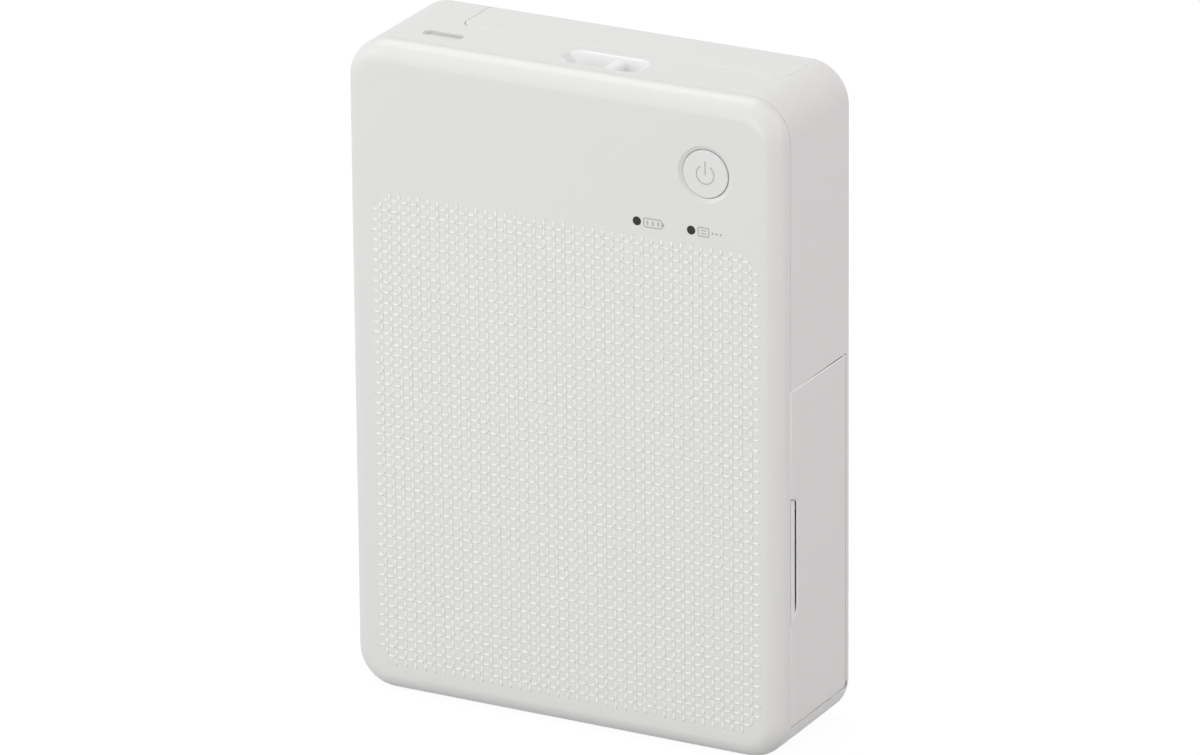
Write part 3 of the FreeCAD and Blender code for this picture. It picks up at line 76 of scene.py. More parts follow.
MM = 0.001
NODES = frame["nodes"]
COVER_LOW, COVER_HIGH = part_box("front_cover")
BUTTON_LOW, BUTTON_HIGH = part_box("power_button")
CHARGE_LOW, CHARGE_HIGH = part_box("charge_lens")
STATUS_LOW, STATUS_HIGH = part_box("status_lens")
DISH_LOW, DISH_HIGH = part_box("strap_pocket")
HINGE_LOW, HINGE_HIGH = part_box("door_hinge_pins")
PORT_LOW, PORT_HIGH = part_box("charging_port")
SKIN = MM * 0.03  # a face this near the shells' whole form counts as outside
MERGED = MM / 1000  # corners this near each other are one
FLAT_ANGLE = math.radians(0.5)  # faces that turn by less than this are one flat face
SOFTENED_ANGLE = math.radians(25)  # edges that turn by more than this are rounded
SQUARE_ANGLE = math.radians(60)  # the two doors' edges that turn by more than this get a painted highlight
SHARP_ANGLE = math.radians(32)  # edges that turn by more than this are shaded as sharp
SIDEWAYS = 0.9  # a face with more X than this in its normal looks to the right
SLANTING = 0.5  # one with less than that and more than this is the notch's chamfer
SHELLS = {"front_cover": ("front_shell", "body"), "rear_case": ("rear_shell", "body"),
          "paper_cover": ("cover_shell", "paper_cover"), "ink_door": ("door_shell", "ink_door")}
CORNER_STEPS = 5
RIDGE_STEPS = 4
RING_STEPS = 40
DOT_STEPS = 9
PORT_ROUND = 0.95  # the round of the port's ends, as a share of its half height
RIDGE_END = 0.55  # the width of a ridge's foot at its ends, as a share
RIDGE_SLOPE = 0.6  # the length of a ridge's sloping end, as a share of its width
# The small symbols, in shares of their height.
BATTERY_LENGTH = 2.2
BATTERY_ROUND = 1 / 5
BATTERY_BARS = (0.2, 0.5, 0.8)
BATTERY_BAR_ENDS = (0.25, 0.75)
SHEET_LENGTH = 1.3
SHEET_ROUND = 1 / 8
SHEET_LINES = (0.32, 0.68)
SHEET_MARGIN = 0.3
DOTS = (0.45, 0.95, 1.45)
# Their heavier strokes, in shares of the thin stroke.
CAP_STROKE = 1.4
CAP_GAP = 1.3
BAR_STROKE = 1.5
FLOOR_SIZE = 6.0
FLOOR_SEEN = 0.12  # what the floor gives back where the camera sees it
FLOOR_GLOW = 0.92  # and what it adds, so that it looks white
LAMP_AIM = (0.0, 0.0, 0.075)
WHITE = (1.0, 1.0, 1.0)
LAMPS = {  # place, size and tone
    "key": ((-0.8, -0.6, 0.6), 0.5, WHITE),
    "front": ((-0.1, -0.9, 0.12), 0.6, WHITE),
    "top": ((-0.4, 0.3, 1.0), 0.6, WHITE),
    "side": ((0.9, 0.2, 0.8), 0.6, (1.0, 0.975, 0.98)),
    "low": ((1.1, -0.15, 0.1), 0.7, (1.0, 0.93, 0.94)),
}


def number(name, description, default, **limits):
    return FloatProperty(name=name, description=description, default=default, **limits)


def offset(name, description, default, **limits):
    return number(name, description, default, unit="LENGTH", subtype="DISTANCE", precision=5,
                  **limits)


def length(name, description, default):
    return offset(name, description, default, min=0.0)


def angle(name, description, default):
    return number(name, description, default, unit="ROTATION", subtype="ANGLE")


def colour(name, description, default):
    return FloatVectorProperty(name=name, description=description, default=default, min=0.0,
                               max=1.0, subtype="COLOR")


class PrinterShellSettings(bpy.types.PropertyGroup):
    """Colours and grain of the white shells."""

    white: colour("Shell white", "Moulded white of the outer shells", (0.79, 0.79, 0.78))
    button: colour("Button white", "White of the power button", (0.80, 0.80, 0.79))
    smoke: colour("Lens smoke", "Smoked plastic of the two lights", (0.020, 0.018, 0.017))
    grain: length("Grain size", "Size of the shell's moulded grain", 0.00022)
    grain_depth: length("Grain depth", "Depth of the shell's moulded grain", 0.000003)
    # Painted highlight: a lighter white for the doors' rounded edges and the notch's chamfer
    edge: colour("Edge white", "Highlighted white of the two doors' edges", (0.95, 0.95, 0.94))
    # Painted light: a lighter white for the strap recess and the floor of the finger notch
    lit_pocket: colour("Pocket white", "Brightened white of the strap recess", (0.9, 0.9, 0.895))
    edge_round: length("Edge round", "Rounding of the shells' outside edges", 0.0001)
    cover_round: length("Cover round", "Rounding of the paper cover's outside edges", 0.00016)
    dish_round: length("Dish round", "Rounding of the strap recess's rim", 0.0004)
    door_round: length("Door round", "Rounding of the ink door's outside edges", 0.0003)


class PrinterLatticeSettings(bpy.types.PropertyGroup):
    """The lattice of short raised ridges on the front."""

    columns: IntProperty(name="Columns", description="Cells across the lattice", default=40, min=3)
    rows: IntProperty(name="Rows", description="Cells up the lattice", default=47, min=3)
    pitch: length("Pitch", "Width of one cell", 0.00229)
    ridge_length: length("Ridge length", "Length of one ridge", 0.00165)
    ridge_width: length("Ridge width", "Width of one ridge", 0.0006)
    ridge_height: length("Ridge height", "How far a ridge stands proud", 0.0002)
    ridge_sink: length("Ridge sink", "How deep a ridge is rooted in the cover", 0.00004)
    # Painted highlight: the ridges are a lighter white than the shell, so they read brighter
    ridge: colour("Ridge white", "Brightened white of the ridges", (0.94, 0.94, 0.93))
    middle_x: offset("Middle", "Middle of the lattice, from the cover's middle", 0.0009)
    low: length("Lower edge", "Height of the lattice's lower edge", 0.0060)


class PrinterPortSettings(bpy.types.PropertyGroup):
    """The charging port's nose, which stands in the shell's mouth."""

    width: length("Width", "Width of the nose", 0.0092)
    height: length("Height", "Height of the nose's mouth", 0.0027)
    wall: length("Wall", "Thickness of the rim", 0.0003)
    depth: length("Depth", "From the top of the shell down to the rim", 0.00025)
    tongue_width: length("Tongue width", "Width of the contact tongue", 0.0064)
    tongue: length("Tongue", "Thickness of the contact tongue", 0.0007)
    tongue_drop: length("Tongue drop", "How far the tongue stands back from the rim", 0.00015)
    floor: length("Floor", "From the rim down to the insulator round the tongue", 0.0004)


class PrinterMarkSettings(bpy.types.PropertyGroup):
    """The printed symbols on the button and beside the lights."""

    ink: colour("Mark grey", "Grey of the printed symbols", (0.47, 0.47, 0.46))
    button_ink: colour("Button mark grey", "Grey of the symbol on the button", (0.50, 0.50, 0.49))
    thickness: length("Ink thickness", "Thickness of the printed ink", 0.00002)
    ring_radius: length("Ring radius", "Middle radius of the power symbol's ring", 0.00203)
    ring_drop: length("Ring drop", "How far the ring's centre lies under the button's", 0.0001)
    ring_gap: angle("Ring gap", "Opening at the ring's top", math.radians(62))
    bar_length: length("Bar length", "Length of the power symbol's bar", 0.0029)
    stroke: length("Stroke", "Width of the power symbol's strokes", 0.00028)
    label_gap: length("Label gap", "From a light's centre to its symbol", 0.00165)
    label_height: length("Label height", "Height of the symbols beside the lights", 0.0019)
    label_stroke: length("Label stroke", "Width of the small symbols' strokes", 0.00026)


class PrinterStudioSettings(bpy.types.PropertyGroup):
    """The camera, the lamps and the floor."""

    azimuth: angle("Azimuth", "How far the camera stands round to the right", 0.48786)
    elevation: angle("Elevation", "How far the camera stands above", 0.36094)
    roll: angle("Roll", "Turn of the camera about its view", -0.0085)
    distance: length("Distance", "From the camera to its target", 2.1025)
    lens: number("Lens", "Focal length in millimetres", 300.3, min=1.0)
    target_x: offset("Target X", "Camera target across", 0.00037)
    target_z: length("Target height", "Camera target above the floor", 0.07322)
    key_power: number("Key power", "Power of the left-hand lamp in watts", 2.87)
    front_power: number("Front power", "Power of the low front lamp in watts", 4.34)
    top_power: number("Top power", "Power of the overhead lamp in watts", 2.97)
    side_power: number("Side power", "Power of the high right-hand lamp in watts", 3.33)
    low_power: number("Low power", "Power of the low right-hand lamp in watts", 2.96)
    ambient: number("Ambient", "Strength of the room's own light", 0.4)
    floor: colour("Floor", "Colour of the pale floor", (0.35, 0.35, 0.35))


def arithmetic(tree, kind, first, second):
    """The outcome of one sum in a node tree; each side is a number or an output."""
    made = tree.nodes.new("ShaderNodeMath")
    made.operation = kind
    for index, value in enumerate((first, second)):
        if isinstance(value, (int, float)):
            made.inputs[index].default_value = value
        else:
            tree.links.new(value, made.inputs[index])
    return made.outputs["Value"]


def empty_tree(owner):
    """The emptied node tree of a material or a world."""
    owner.use_nodes = True
    owner.node_tree.nodes.clear()
    return owner.node_tree


def link_new(name, data):
    """A new object in the scene, round the data given."""
    made = bpy.data.objects.new(name, data)
    bpy.context.scene.collection.objects.link(made)
    return made


class Finish:
    """A material: one shader, and the textures that feed it, placed in the object's own space.

    Sizes and depths are in metres.
    """

    def __init__(self, name, roughness, metallic=0.0, specular=0.5, **constants):
        self.material = bpy.data.materials.new(name)
        self.tree = empty_tree(self.material)
        self.shader = self.tree.nodes.new("ShaderNodeBsdfPrincipled")
        output = self.tree.nodes.new("ShaderNodeOutputMaterial")
        self.tree.links.new(self.shader.outputs["BSDF"], output.inputs["Surface"])
        constants |= {"Roughness": roughness, "Metallic": metallic, "Specular IOR Level": specular}
        for socket, value in constants.items():
            self.shader.inputs[socket.replace("_", " ")].default_value = value
        self.place = self.tree.nodes.new("ShaderNodeTexCoord").outputs["Object"]
        self.normal = None

    def node(self, kind, links=None, **values):
        made = self.tree.nodes.new(kind)
        for socket, value in values.items():
            made.inputs[socket.replace("_", " ")].default_value = value
        for socket, source in (links or {}).items():
            self.tree.links.new(source, made.inputs[socket])
        return made

    def stretch(self, x, y, z):
        """The place, stretched so that a pattern on it is drawn out by these factors."""
        scale = (1 / x, 1 / y, 1 / z)
        return self.node("ShaderNodeMapping", {"Vector": self.place}, Scale=scale).outputs["Vector"]

    def noise(self, size, detail=2.0, place=None):
        texture = self.node("ShaderNodeTexNoise", {"Vector": place or self.place},
                            Scale=1 / size, Detail=detail)
        return texture.outputs["Fac"]

    def cells(self, size):
        """How far off the middle of the nearest cell is."""
        texture = self.node("ShaderNodeTexVoronoi", {"Vector": self.place}, Scale=1 / size)
        return texture.outputs["Distance"]

    def cell_tone(self, size):
        """One random grey for each cell."""
        texture = self.node("ShaderNodeTexVoronoi", {"Vector": self.place}, Scale=1 / size)
        return self.node("ShaderNodeSeparateColor", {"Color": texture.outputs["Color"]}).outputs[0]

    def bands(self, pitch, axis, waver=0.0):
        """Even bands across one axis, as far apart as the pitch."""
        # At a scale of one, the wave texture repeats every pi / 10.
        texture = self.node("ShaderNodeTexWave", {"Vector": self.place},
                            Scale=math.pi / (10 * pitch), Distortion=waver, Detail=1.0)
        texture.wave_type = "BANDS"
        texture.bands_direction = axis
        return texture.outputs["Fac"]

    def along(self, axis):
        """The place along one axis, in metres."""
        return self.node("ShaderNodeSeparateXYZ", {"Vector": self.place}).outputs[axis]

    def sum(self, kind, first, second):
        return arithmetic(self.tree, kind, first, second)

    def between(self, factor, from_low, from_high, low=0.0, high=1.0):
        ranged = self.node("ShaderNodeMapRange", {"Value": factor})
        for index, value in enumerate((from_low, from_high, low, high)):
            ranged.inputs[index + 1].default_value = value
        return ranged.outputs["Result"]

    def blend(self, factor, first, second):
        """Between two colours; each is a colour or an output."""
        mixed = self.tree.nodes.new("ShaderNodeMix")
        mixed.data_type = "RGBA"
        self.tree.links.new(factor, mixed.inputs["Factor"])
        for socket, value in ((mixed.inputs[6], first), (mixed.inputs[7], second)):
            if hasattr(value, "links"):
                self.tree.links.new(value, socket)
            else:
                socket.default_value = (*value, 1.0)
        return mixed.outputs[2]

    def paint(self, factor, first, second):
        result = self.blend(factor, first, second)
        self.tree.links.new(result, self.shader.inputs["Base Color"])

    def rough(self, factor, low, high):
        ranged = self.between(factor, 0.0, 1.0, low, high)
        self.tree.links.new(ranged, self.shader.inputs["Roughness"])

    def bump(self, height, depth):
        """Adds relief of a real depth in metres, on top of what is there."""
        links = {"Height": height}
        if self.normal:
            links["Normal"] = self.normal
        bumped = self.node("ShaderNodeBump", links, Strength=1.0, Distance=depth)
        self.normal = bumped.outputs["Normal"]
        self.tree.links.new(self.normal, self.shader.inputs["Normal"])


def shade(tone, factor):
    """A colour made lighter or darker."""
    return tuple(min(1.0, part * factor) for part in tone)


def moulded(name, tone, grain, depth, roughness, mottle=0.02):
    """Moulded plastic: faint clouds of tone, spark-eroded grain and an uneven sheen."""
    finish = Finish(name, roughness)
    clouds = finish.noise(0.012, 3.0)
    finish.paint(clouds, shade(tone, 1 - mottle), shade(tone, 1 + mottle))
    finish.rough(finish.noise(0.004, 2.0), roughness - 0.05, roughness + 0.05)
    finish.bump(finish.noise(grain, 3.0), depth)
    return finish


def clean_white(name, tone, grain, depth, roughness):
    """Moulded white with hardly a cloud in it."""
    return moulded(name, tone, grain, depth, roughness, mottle=0.004)


def shell_white(settings):
    finish = clean_white("shell_white_finish", settings.white, settings.grain,
                         settings.grain_depth, 0.42)
    finish.bump(finish.noise(0.018, 1.0), 0.000012)
    return finish


def button_white(settings):
    return clean_white("button_white_finish", settings.button, settings.grain / 2,
                       settings.grain_depth / 2, 0.36)


# The doors' edges in a lighter white: a painted highlight
def edge_highlight_white(settings):
    return clean_white("edge_white_finish", settings.edge, settings.grain,
                       settings.grain_depth / 2, 0.34)


# The strap recess in a lighter white: painted light
def lit_pocket_white(settings):
    return clean_white("pocket_white_finish", settings.lit_pocket, settings.grain,
                       settings.grain_depth, 0.38)


def lens_smoked(settings):
    finish = Finish("lens_smoked_finish", 0.22, specular=0.35)
    finish.paint(finish.noise(0.0006, 2.0), shade(settings.smoke, 0.8), shade(settings.smoke, 1.3))
    finish.bump(finish.noise(0.0004), 0.000001)
    return finish


def inner_white():
    finish = moulded("inner_white_finish", (0.72, 0.72, 0.71), 0.0003, 0.000006, 0.5)
    finish.bump(finish.bands(0.006, "Z", 6.0), 0.000005)
    return finish


def rubber_grey():
    tone = (0.052, 0.052, 0.055)
    finish = Finish("rubber_grey_finish", 0.8, specular=0.3)
    dust = finish.between(finish.noise(0.0006, 6.0), 0.55, 0.75)
    finish.paint(dust, tone, shade(tone, 2.2))
    finish.rough(finish.noise(0.0015), 0.72, 0.9)
    finish.bump(finish.noise(0.00015, 4.0), 0.00001)
    return finish


def drawn_metal(name, tone, roughness, size, pull, dark, light):
    """Metal with streaks in its tone, drawn out by three factors; gives the streaks too."""
    finish = Finish(name, roughness, metallic=1.0)
    streaks = finish.noise(size, 3.0, finish.stretch(*pull))
    finish.paint(streaks, shade(tone, dark), shade(tone, light))
    return finish, streaks


def turned_steel(name, tone, roughness):
    """Steel turned or ground about an axis along X: fine rings, drawn into short streaks."""
    finish, rings = drawn_metal(name, tone, roughness, 0.00006, (1.0, 30.0, 30.0), 0.86, 1.08)
    finish.rough(rings, roughness - 0.07, roughness + 0.09)
    finish.bump(rings, 0.0000012)
    return finish


def screw_steel():
    tone = (0.62, 0.62, 0.63)
    finish = Finish("screw_steel_finish", 0.3, metallic=1.0)
    streaks = finish.noise(0.00012, 4.0)
    finish.paint(streaks, shade(tone, 0.8), shade(tone, 1.1))
    finish.rough(finish.noise(0.0005), 0.22, 0.4)
    finish.bump(streaks, 0.000003)
    return finish


def plate_steel():
    """Zinc plated sheet: soft crystals over lines from the rolling mill."""
    tone = (0.56, 0.57, 0.58)
    finish = Finish("plate_steel_finish", 0.34, metallic=1.0)
    crystals = finish.cell_tone(0.0032)
    finish.paint(crystals, shade(tone, 0.88), shade(tone, 1.06))
    lines = finish.noise(0.00012, 3.0, finish.stretch(1.0, 1.0, 40.0))
    finish.rough(lines, 0.26, 0.46)
    finish.bump(lines, 0.000002)
    return finish


def gear_plastic():
    finish = moulded("gear_plastic_finish", (0.70, 0.685, 0.62), 0.00025, 0.000004, 0.34, 0.03)
    finish.shader.inputs["Subsurface Weight"].default_value = 0.06
    finish.shader.inputs["Subsurface Radius"].default_value = (0.0012, 0.0010, 0.0008)
    return finish


def bush_plastic():
    return moulded("bush_plastic_finish", (0.022, 0.022, 0.024), 0.0002, 0.000005, 0.45, 0.2)


def motor_can():
    finish, drawn = drawn_metal("motor_can_finish", (0.52, 0.52, 0.53), 0.33, 0.00012,
                                (30.0, 1.0, 1.0), 0.85, 1.08)
    finish.rough(finish.noise(0.002, 3.0), 0.26, 0.42)
    finish.bump(drawn, 0.0000015)
    return finish


def cassette_grey():
    finish = moulded("cassette_grey_finish", (0.090, 0.095, 0.105), 0.00022, 0.000014, 0.52, 0.05)
    finish.bump(finish.noise(0.00007, 2.0), 0.000005)
    return finish


def spool_white():
    finish = moulded("spool_white_finish", (0.62, 0.62, 0.61), 0.0003, 0.000005, 0.42, 0.03)
    finish.bump(finish.bands(0.0015, "X", 1.0), 0.000003)
    return finish


def ink_film():
    """Glossy dye film, in panels of colour one after the other, with a clear band between them."""
    finish = Finish("ink_film_finish", 0.12, Coat_Weight=0.6, Coat_Roughness=0.08)
    panel_length = 0.048
    panel = finish.sum("FRACT", finish.sum("DIVIDE", finish.along("Z"), panel_length), 0.0)
    ramp = finish.node("ShaderNodeValToRGB", {"Fac": panel})
    ramp.color_ramp.interpolation = "CONSTANT"
    clear = (0.10, 0.10, 0.11)
    stops = ((0.0, (0.012, 0.010, 0.030)), (0.46, clear), (0.52, (0.16, 0.006, 0.05)),
             (0.95, clear))
    for index, (start, tone) in enumerate(stops):
        stop = ramp.color_ramp.elements[index] if index < 2 else ramp.color_ramp.elements.new(start)
        stop.position = start
        stop.color = (*tone, 1.0)
    wound = finish.noise(0.0004, 3.0, finish.stretch(60.0, 1.0, 1.0))
    # Painted sheen: pale grey streaks along the wound film stand in for its reflection
    painted_sheen = finish.between(wound, 0.4, 0.9, 0.0, 0.12)
    finish.paint(painted_sheen, ramp.outputs["Color"], (0.4, 0.4, 0.45))
    finish.rough(wound, 0.08, 0.2)
    finish.bump(finish.noise(0.006, 2.0, finish.stretch(1.0, 1.0, 3.0)), 0.00002)
    return finish


def paper_white():
    """Coated sheets: fibre clouds on the faces, and the joints of single sheets on the edges."""
    finish = Finish("paper_white_finish", 0.38, specular=0.5)
    low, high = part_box("paper_stack")
    sheets = 10
    sheet = (high.y - low.y) / sheets
    joints = finish.between(finish.bands(sheet, "Y", 0.4), 0.0, 0.18)
    fibre = finish.blend(finish.noise(0.0015, 5.0), (0.80, 0.80, 0.785), (0.85, 0.85, 0.84))
    finish.paint(joints, (0.42, 0.42, 0.41), fibre)
    finish.rough(finish.noise(0.002, 3.0), 0.32, 0.46)
    finish.bump(joints, 0.00003)
    finish.bump(finish.noise(0.0002, 4.0), 0.000002)
    return finish


def heat_sink():
    finish, drawn = drawn_metal("heat_sink_finish", (0.66, 0.67, 0.68), 0.36, 0.0001,
                                (60.0, 1.0, 1.0), 0.82, 1.06)
    finish.rough(drawn, 0.28, 0.46)
    finish.bump(drawn, 0.000003)
    return finish


def head_ceramic():
    """Glazed ceramic with the dark line of heating elements along the bead."""
    low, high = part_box("platen_shaft")
    line_height = (low.z + high.z) / 2
    finish = Finish("head_ceramic_finish", 0.14, Coat_Weight=0.4)
    offset = finish.sum("ABSOLUTE", finish.sum("SUBTRACT", finish.along("Z"), line_height), 0.0)
    line = finish.between(offset, 0.00016, 0.00024)
    dots = finish.between(finish.bands(0.0004, "X"), 0.35, 0.6)
    elements = finish.blend(dots, (0.07, 0.05, 0.04), (0.16, 0.12, 0.09))
    glaze = finish.blend(finish.noise(0.003, 3.0), (0.74, 0.72, 0.66), (0.80, 0.78, 0.73))
    finish.paint(line, elements, glaze)
    finish.bump(finish.noise(0.001, 2.0), 0.000002)
    return finish


def flex_amber():
    """Amber film with copper conductors in it."""
    finish = Finish("flex_amber_finish", 0.22, Coat_Weight=0.5)
    conductors = finish.between(finish.bands(0.0005, "X"), 0.42, 0.58)
    finish.paint(conductors, (0.42, 0.17, 0.025), (0.62, 0.30, 0.10))
    finish.bump(conductors, 0.000015)
    finish.rough(finish.noise(0.0008), 0.16, 0.32)
    return finish


def board_green():
    """Solder mask over copper: traces in two directions, and a field of tinned via holes."""
    finish = Finish("board_green_finish", 0.32, Coat_Weight=0.35)
    wander = finish.noise(0.004, 1.0, finish.stretch(1.0, 1.0, 6.0))
    across = finish.between(finish.bands(0.0009, "X"), 0.52, 0.62)
    upward = finish.between(finish.bands(0.0011, "Z"), 0.52, 0.62)
    side = finish.between(wander, 0.49, 0.51)
    traces = finish.sum("ADD", finish.sum("MULTIPLY", across, side),
                        finish.sum("MULTIPLY", upward, finish.sum("SUBTRACT", 1.0, side)))
    mask = finish.blend(traces, (0.012, 0.082, 0.035), (0.022, 0.145, 0.060))
    vias = finish.between(finish.cells(0.0032), 0.10, 0.13)
    finish.paint(vias, (0.55, 0.50, 0.36), mask)
    finish.bump(traces, 0.00003)
    finish.rough(finish.noise(0.003), 0.26, 0.4)
    return finish


def chip_black():
    return moulded("chip_black_finish", (0.018, 0.018, 0.019), 0.00009, 0.000006, 0.55, 0.2)


def shield_tin():
    finish, _ = drawn_metal("shield_tin_finish", (0.68, 0.68, 0.66), 0.28, 0.0001,
                            (20.0, 1.0, 1.0), 0.85, 1.05)
    finish.rough(finish.noise(0.001, 3.0), 0.2, 0.38)
    finish.bump(finish.noise(0.003), 0.00001)
    return finish


def socket_cream():
    return moulded("socket_cream_finish", (0.68, 0.63, 0.50), 0.0002, 0.000004, 0.42, 0.04)


def lamp_clear():
    finish = Finish("lamp_clear_finish", 0.12, Coat_Weight=0.5)
    finish.paint(finish.noise(0.0004), (0.72, 0.70, 0.48), (0.80, 0.80, 0.72))
    finish.bump(finish.noise(0.0005), 0.000002)
    return finish


def battery_wrap():
    """Shrunk film over the cell, with faint tension lines."""
    finish = Finish("battery_wrap_finish", 0.3, Coat_Weight=0.3)
    pull = finish.noise(0.002, 3.0, finish.stretch(1.0, 1.0, 8.0))
    finish.paint(pull, (0.020, 0.024, 0.034), (0.034, 0.040, 0.055))
    finish.rough(pull, 0.22, 0.4)
    finish.bump(pull, 0.00002)
    return finish


def ink_mark(name, tone):
    """Printed ink: a matt grey with a slightly broken edge tone."""
    finish = Finish(name, 0.55, specular=0.4)
    finish.paint(finish.noise(0.00015, 3.0), shade(tone, 0.92), shade(tone, 1.06))
    finish.bump(finish.noise(0.00008, 2.0), 0.000002)
    return finish


def finish_nodes(finishes):
    """Gives each CAD node the finish of its material slot."""
    for part in frame["record"]["subparts"]:
        if part["material_slot"] in finishes:
            materials = NODES[part["node"]].data.materials
            materials.clear()
            materials.append(finishes[part["material_slot"]].material)


def add_piece(name, mesh, body, material):
    """Links a mesh as a piece that rides on a body."""
    mesh.name = name
    # Clearing also forgets which faces have the second finish, so only what is there is cleared.
    if len(mesh.materials):
        mesh.materials.clear()
    mesh.materials.append(material)
    piece = link_new(name, mesh)
    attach(piece, body)
    return piece


def outside_test(names):
    """A test for faces that lie on the outside of the shells' whole convex form."""
    corners = np.array([v.co for name in names for v in NODES[name].data.vertices])

    def outside(face):
        normal = np.array(face.normal)
        return (corners @ normal).max() - face.calc_center_median().dot(face.normal) < SKIN

    return outside


def in_dish(edge):
    """Whether an edge lies within the strap recess, seen from above."""
    return all(DISH_LOW[axis] - MM < vert.co[axis] < DISH_HIGH[axis] + MM
               for vert in edge.verts for axis in (0, 1))


def before_hinge(edge):
    """Whether an edge is clear of the narrow seam behind the ink door's hinge."""
    middle = (HINGE_LOW.y + HINGE_HIGH.y) / 2
    return any(vert.co.y <= middle or vert.co.x <= HINGE_LOW.x for vert in edge.verts)


def sunk(face, outside):
    """Whether a rear case face is in the strap recess, or is the floor of the finger notch."""
    if outside(face):
        return False
    centre = face.calc_center_median()
    if face.normal.x > SIDEWAYS and centre.x > HINGE_LOW.x:
        return True
    return all(in_dish(edge) for edge in face.edges) and centre.z > DISH_LOW.z


def chamfered(face):
    """Whether an ink door face is the chamfer of the finger notch."""
    return SLANTING < face.normal.x < SIDEWAYS and face.calc_center_median().y < 0


def paint_light(faces):
    """Gives faces the second, lighter finish of their piece: painted light, standing in for
    highlights and lit hollows.
    """
    for face in faces:
        face.material_index = 1


def soften(bm, outside, width, chosen=before_hinge, least=SOFTENED_ANGLE):
    """Rounds the chosen edges where an outside face turns down into a seam, a hole or a recess."""
    turned = [edge for edge in bm.edges
              if len(edge.link_faces) == 2 and edge.calc_face_angle_signed() >= least
              and chosen(edge) and any(outside(face) for face in edge.link_faces)]
    rounded = bmesh.ops.bevel(bm, geom=turned, offset=width, segments=2, profile=0.5,
                              affect="EDGES", clamp_overlap=False)
    return rounded["faces"]


def softened_copy(node, name, settings, outside):
    """A merged copy of a CAD shell with its outside edges rounded."""
    bm = bmesh.new()
    bm.from_mesh(NODES[node].data)
    bmesh.ops.remove_doubles(bm, verts=bm.verts, dist=MERGED)
    bmesh.ops.dissolve_limit(bm, angle_limit=FLAT_ANGLE, verts=bm.verts, edges=bm.edges)
    bm.normal_update()
    if node == "rear_case":
        soften(bm, outside, settings.dish_round, in_dish)
        # The strap recess and the notch's floor get the lighter white: painted light
        paint_light(face for face in bm.faces if sunk(face, outside))
    # The ink door's and paper cover's rounded edges, and the notch's chamfer, get the lighter
    # white: a painted highlight
    if node == "ink_door":
        paint_light(soften(bm, outside, settings.door_round, least=SQUARE_ANGLE))
        paint_light(face for face in bm.faces if chamfered(face))
    if node == "paper_cover":
        paint_light(soften(bm, outside, settings.cover_round, least=SQUARE_ANGLE))
    soften(bm, outside, settings.edge_round)
    for face in bm.faces:
        face.smooth = True
    mesh = bpy.data.meshes.new(name)
    bm.to_mesh(mesh)
    bm.free()
    mesh.set_sharp_from_angle(angle=SHARP_ANGLE)
    return mesh


class PRINTER_OT_shells(bpy.types.Operator):
    """Finishes the white shells, the button and the two lenses"""

    bl_idname = "printer.shells"
    bl_label = "White shells"

    def execute(self, context):
        settings = context.scene.printer_shell
        white = shell_white(settings)
        finish_nodes({"shell_white": white, "button_white": button_white(settings),
                      "lens_smoked": lens_smoked(settings)})
        lit_pocket = lit_pocket_white(settings).material
        # edge is the lighter white of the doors' edges: a painted highlight
        edge = edge_highlight_white(settings).material
        # The strap recess and its bar are drawn in the lighter white too: painted light
        for node in ("strap_pocket", "strap_bar"):
            NODES[node].data.materials[0] = lit_pocket
        # The second finish of each shell: a lighter white, painted light
        lighter = {"rear_case": lit_pocket, "paper_cover": edge, "ink_door": edge}
        outside = outside_test(SHELLS)
        for node, (name, body) in SHELLS.items():
            mesh = softened_copy(node, name, settings, outside)
            piece = add_piece(name, mesh, body, white.material)
            if node in lighter:
                mesh.materials.append(lighter[node])
            weighted = piece.modifiers.new("Flat faces stay flat", "WEIGHTED_NORMAL")
            weighted.keep_sharp = True
            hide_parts(node)
        return {"FINISHED"}


class PRINTER_OT_mechanism(bpy.types.Operator):
    """Finishes the plates, shafts, gears, rollers, cassette and paper"""

    bl_idname = "printer.mechanism"
    bl_label = "Mechanism"

    def execute(self, context):
        shaft_steel = turned_steel("shaft_steel_finish", (0.64, 0.64, 0.65), 0.22)
        finish_nodes({"inner_white": inner_white(), "rubber_grey": rubber_grey(),
                      "screw_steel": screw_steel(), "shaft_steel": shaft_steel,
                      "plate_steel": plate_steel(), "gear_plastic": gear_plastic(),
                      "bush_plastic": bush_plastic(), "motor_can": motor_can(),
                      "cassette_grey": cassette_grey(), "spool_white": spool_white(),
                      "ink_film": ink_film(), "paper_white": paper_white(),
                      "heat_sink": heat_sink(), "head_ceramic": head_ceramic()})
        return {"FINISHED"}


def finished_mesh(bm, name):
    """A mesh with its faces turned outward."""
    bmesh.ops.recalc_face_normals(bm, faces=bm.faces)
    mesh = bpy.data.meshes.new(name)
    bm.to_mesh(mesh)
    bm.free()
    return mesh


def join_loops(bm, first, second):
    """Adds the faces between two closed loops of as many corners."""
    for index in range(len(first)):
        following = (index + 1) % len(first)
        bm.faces.new((first[index], first[following], second[following], second[index]))


def arc_points(centre, radius, start, end, steps):
    """(x, z) points on an arc, with angles from the X axis towards Z."""
    turns = [start + (end - start) * step / steps for step in range(steps + 1)]
    return [(centre[0] + radius * math.cos(t), centre[1] + radius * math.sin(t)) for t in turns]


def rounded_outline(x0, x1, z0, z1, radius):
    """Points round a rectangle with round corners."""
    quarter = math.pi / 2
    left, right = x0 + radius, x1 - radius
    low, high = z0 + radius, z1 - radius
    points = []
    for turn, centre in enumerate(((right, high), (left, high), (left, low), (right, low))):
        points += arc_points(centre, radius, turn * quarter, (turn + 1) * quarter, CORNER_STEPS)
    return points


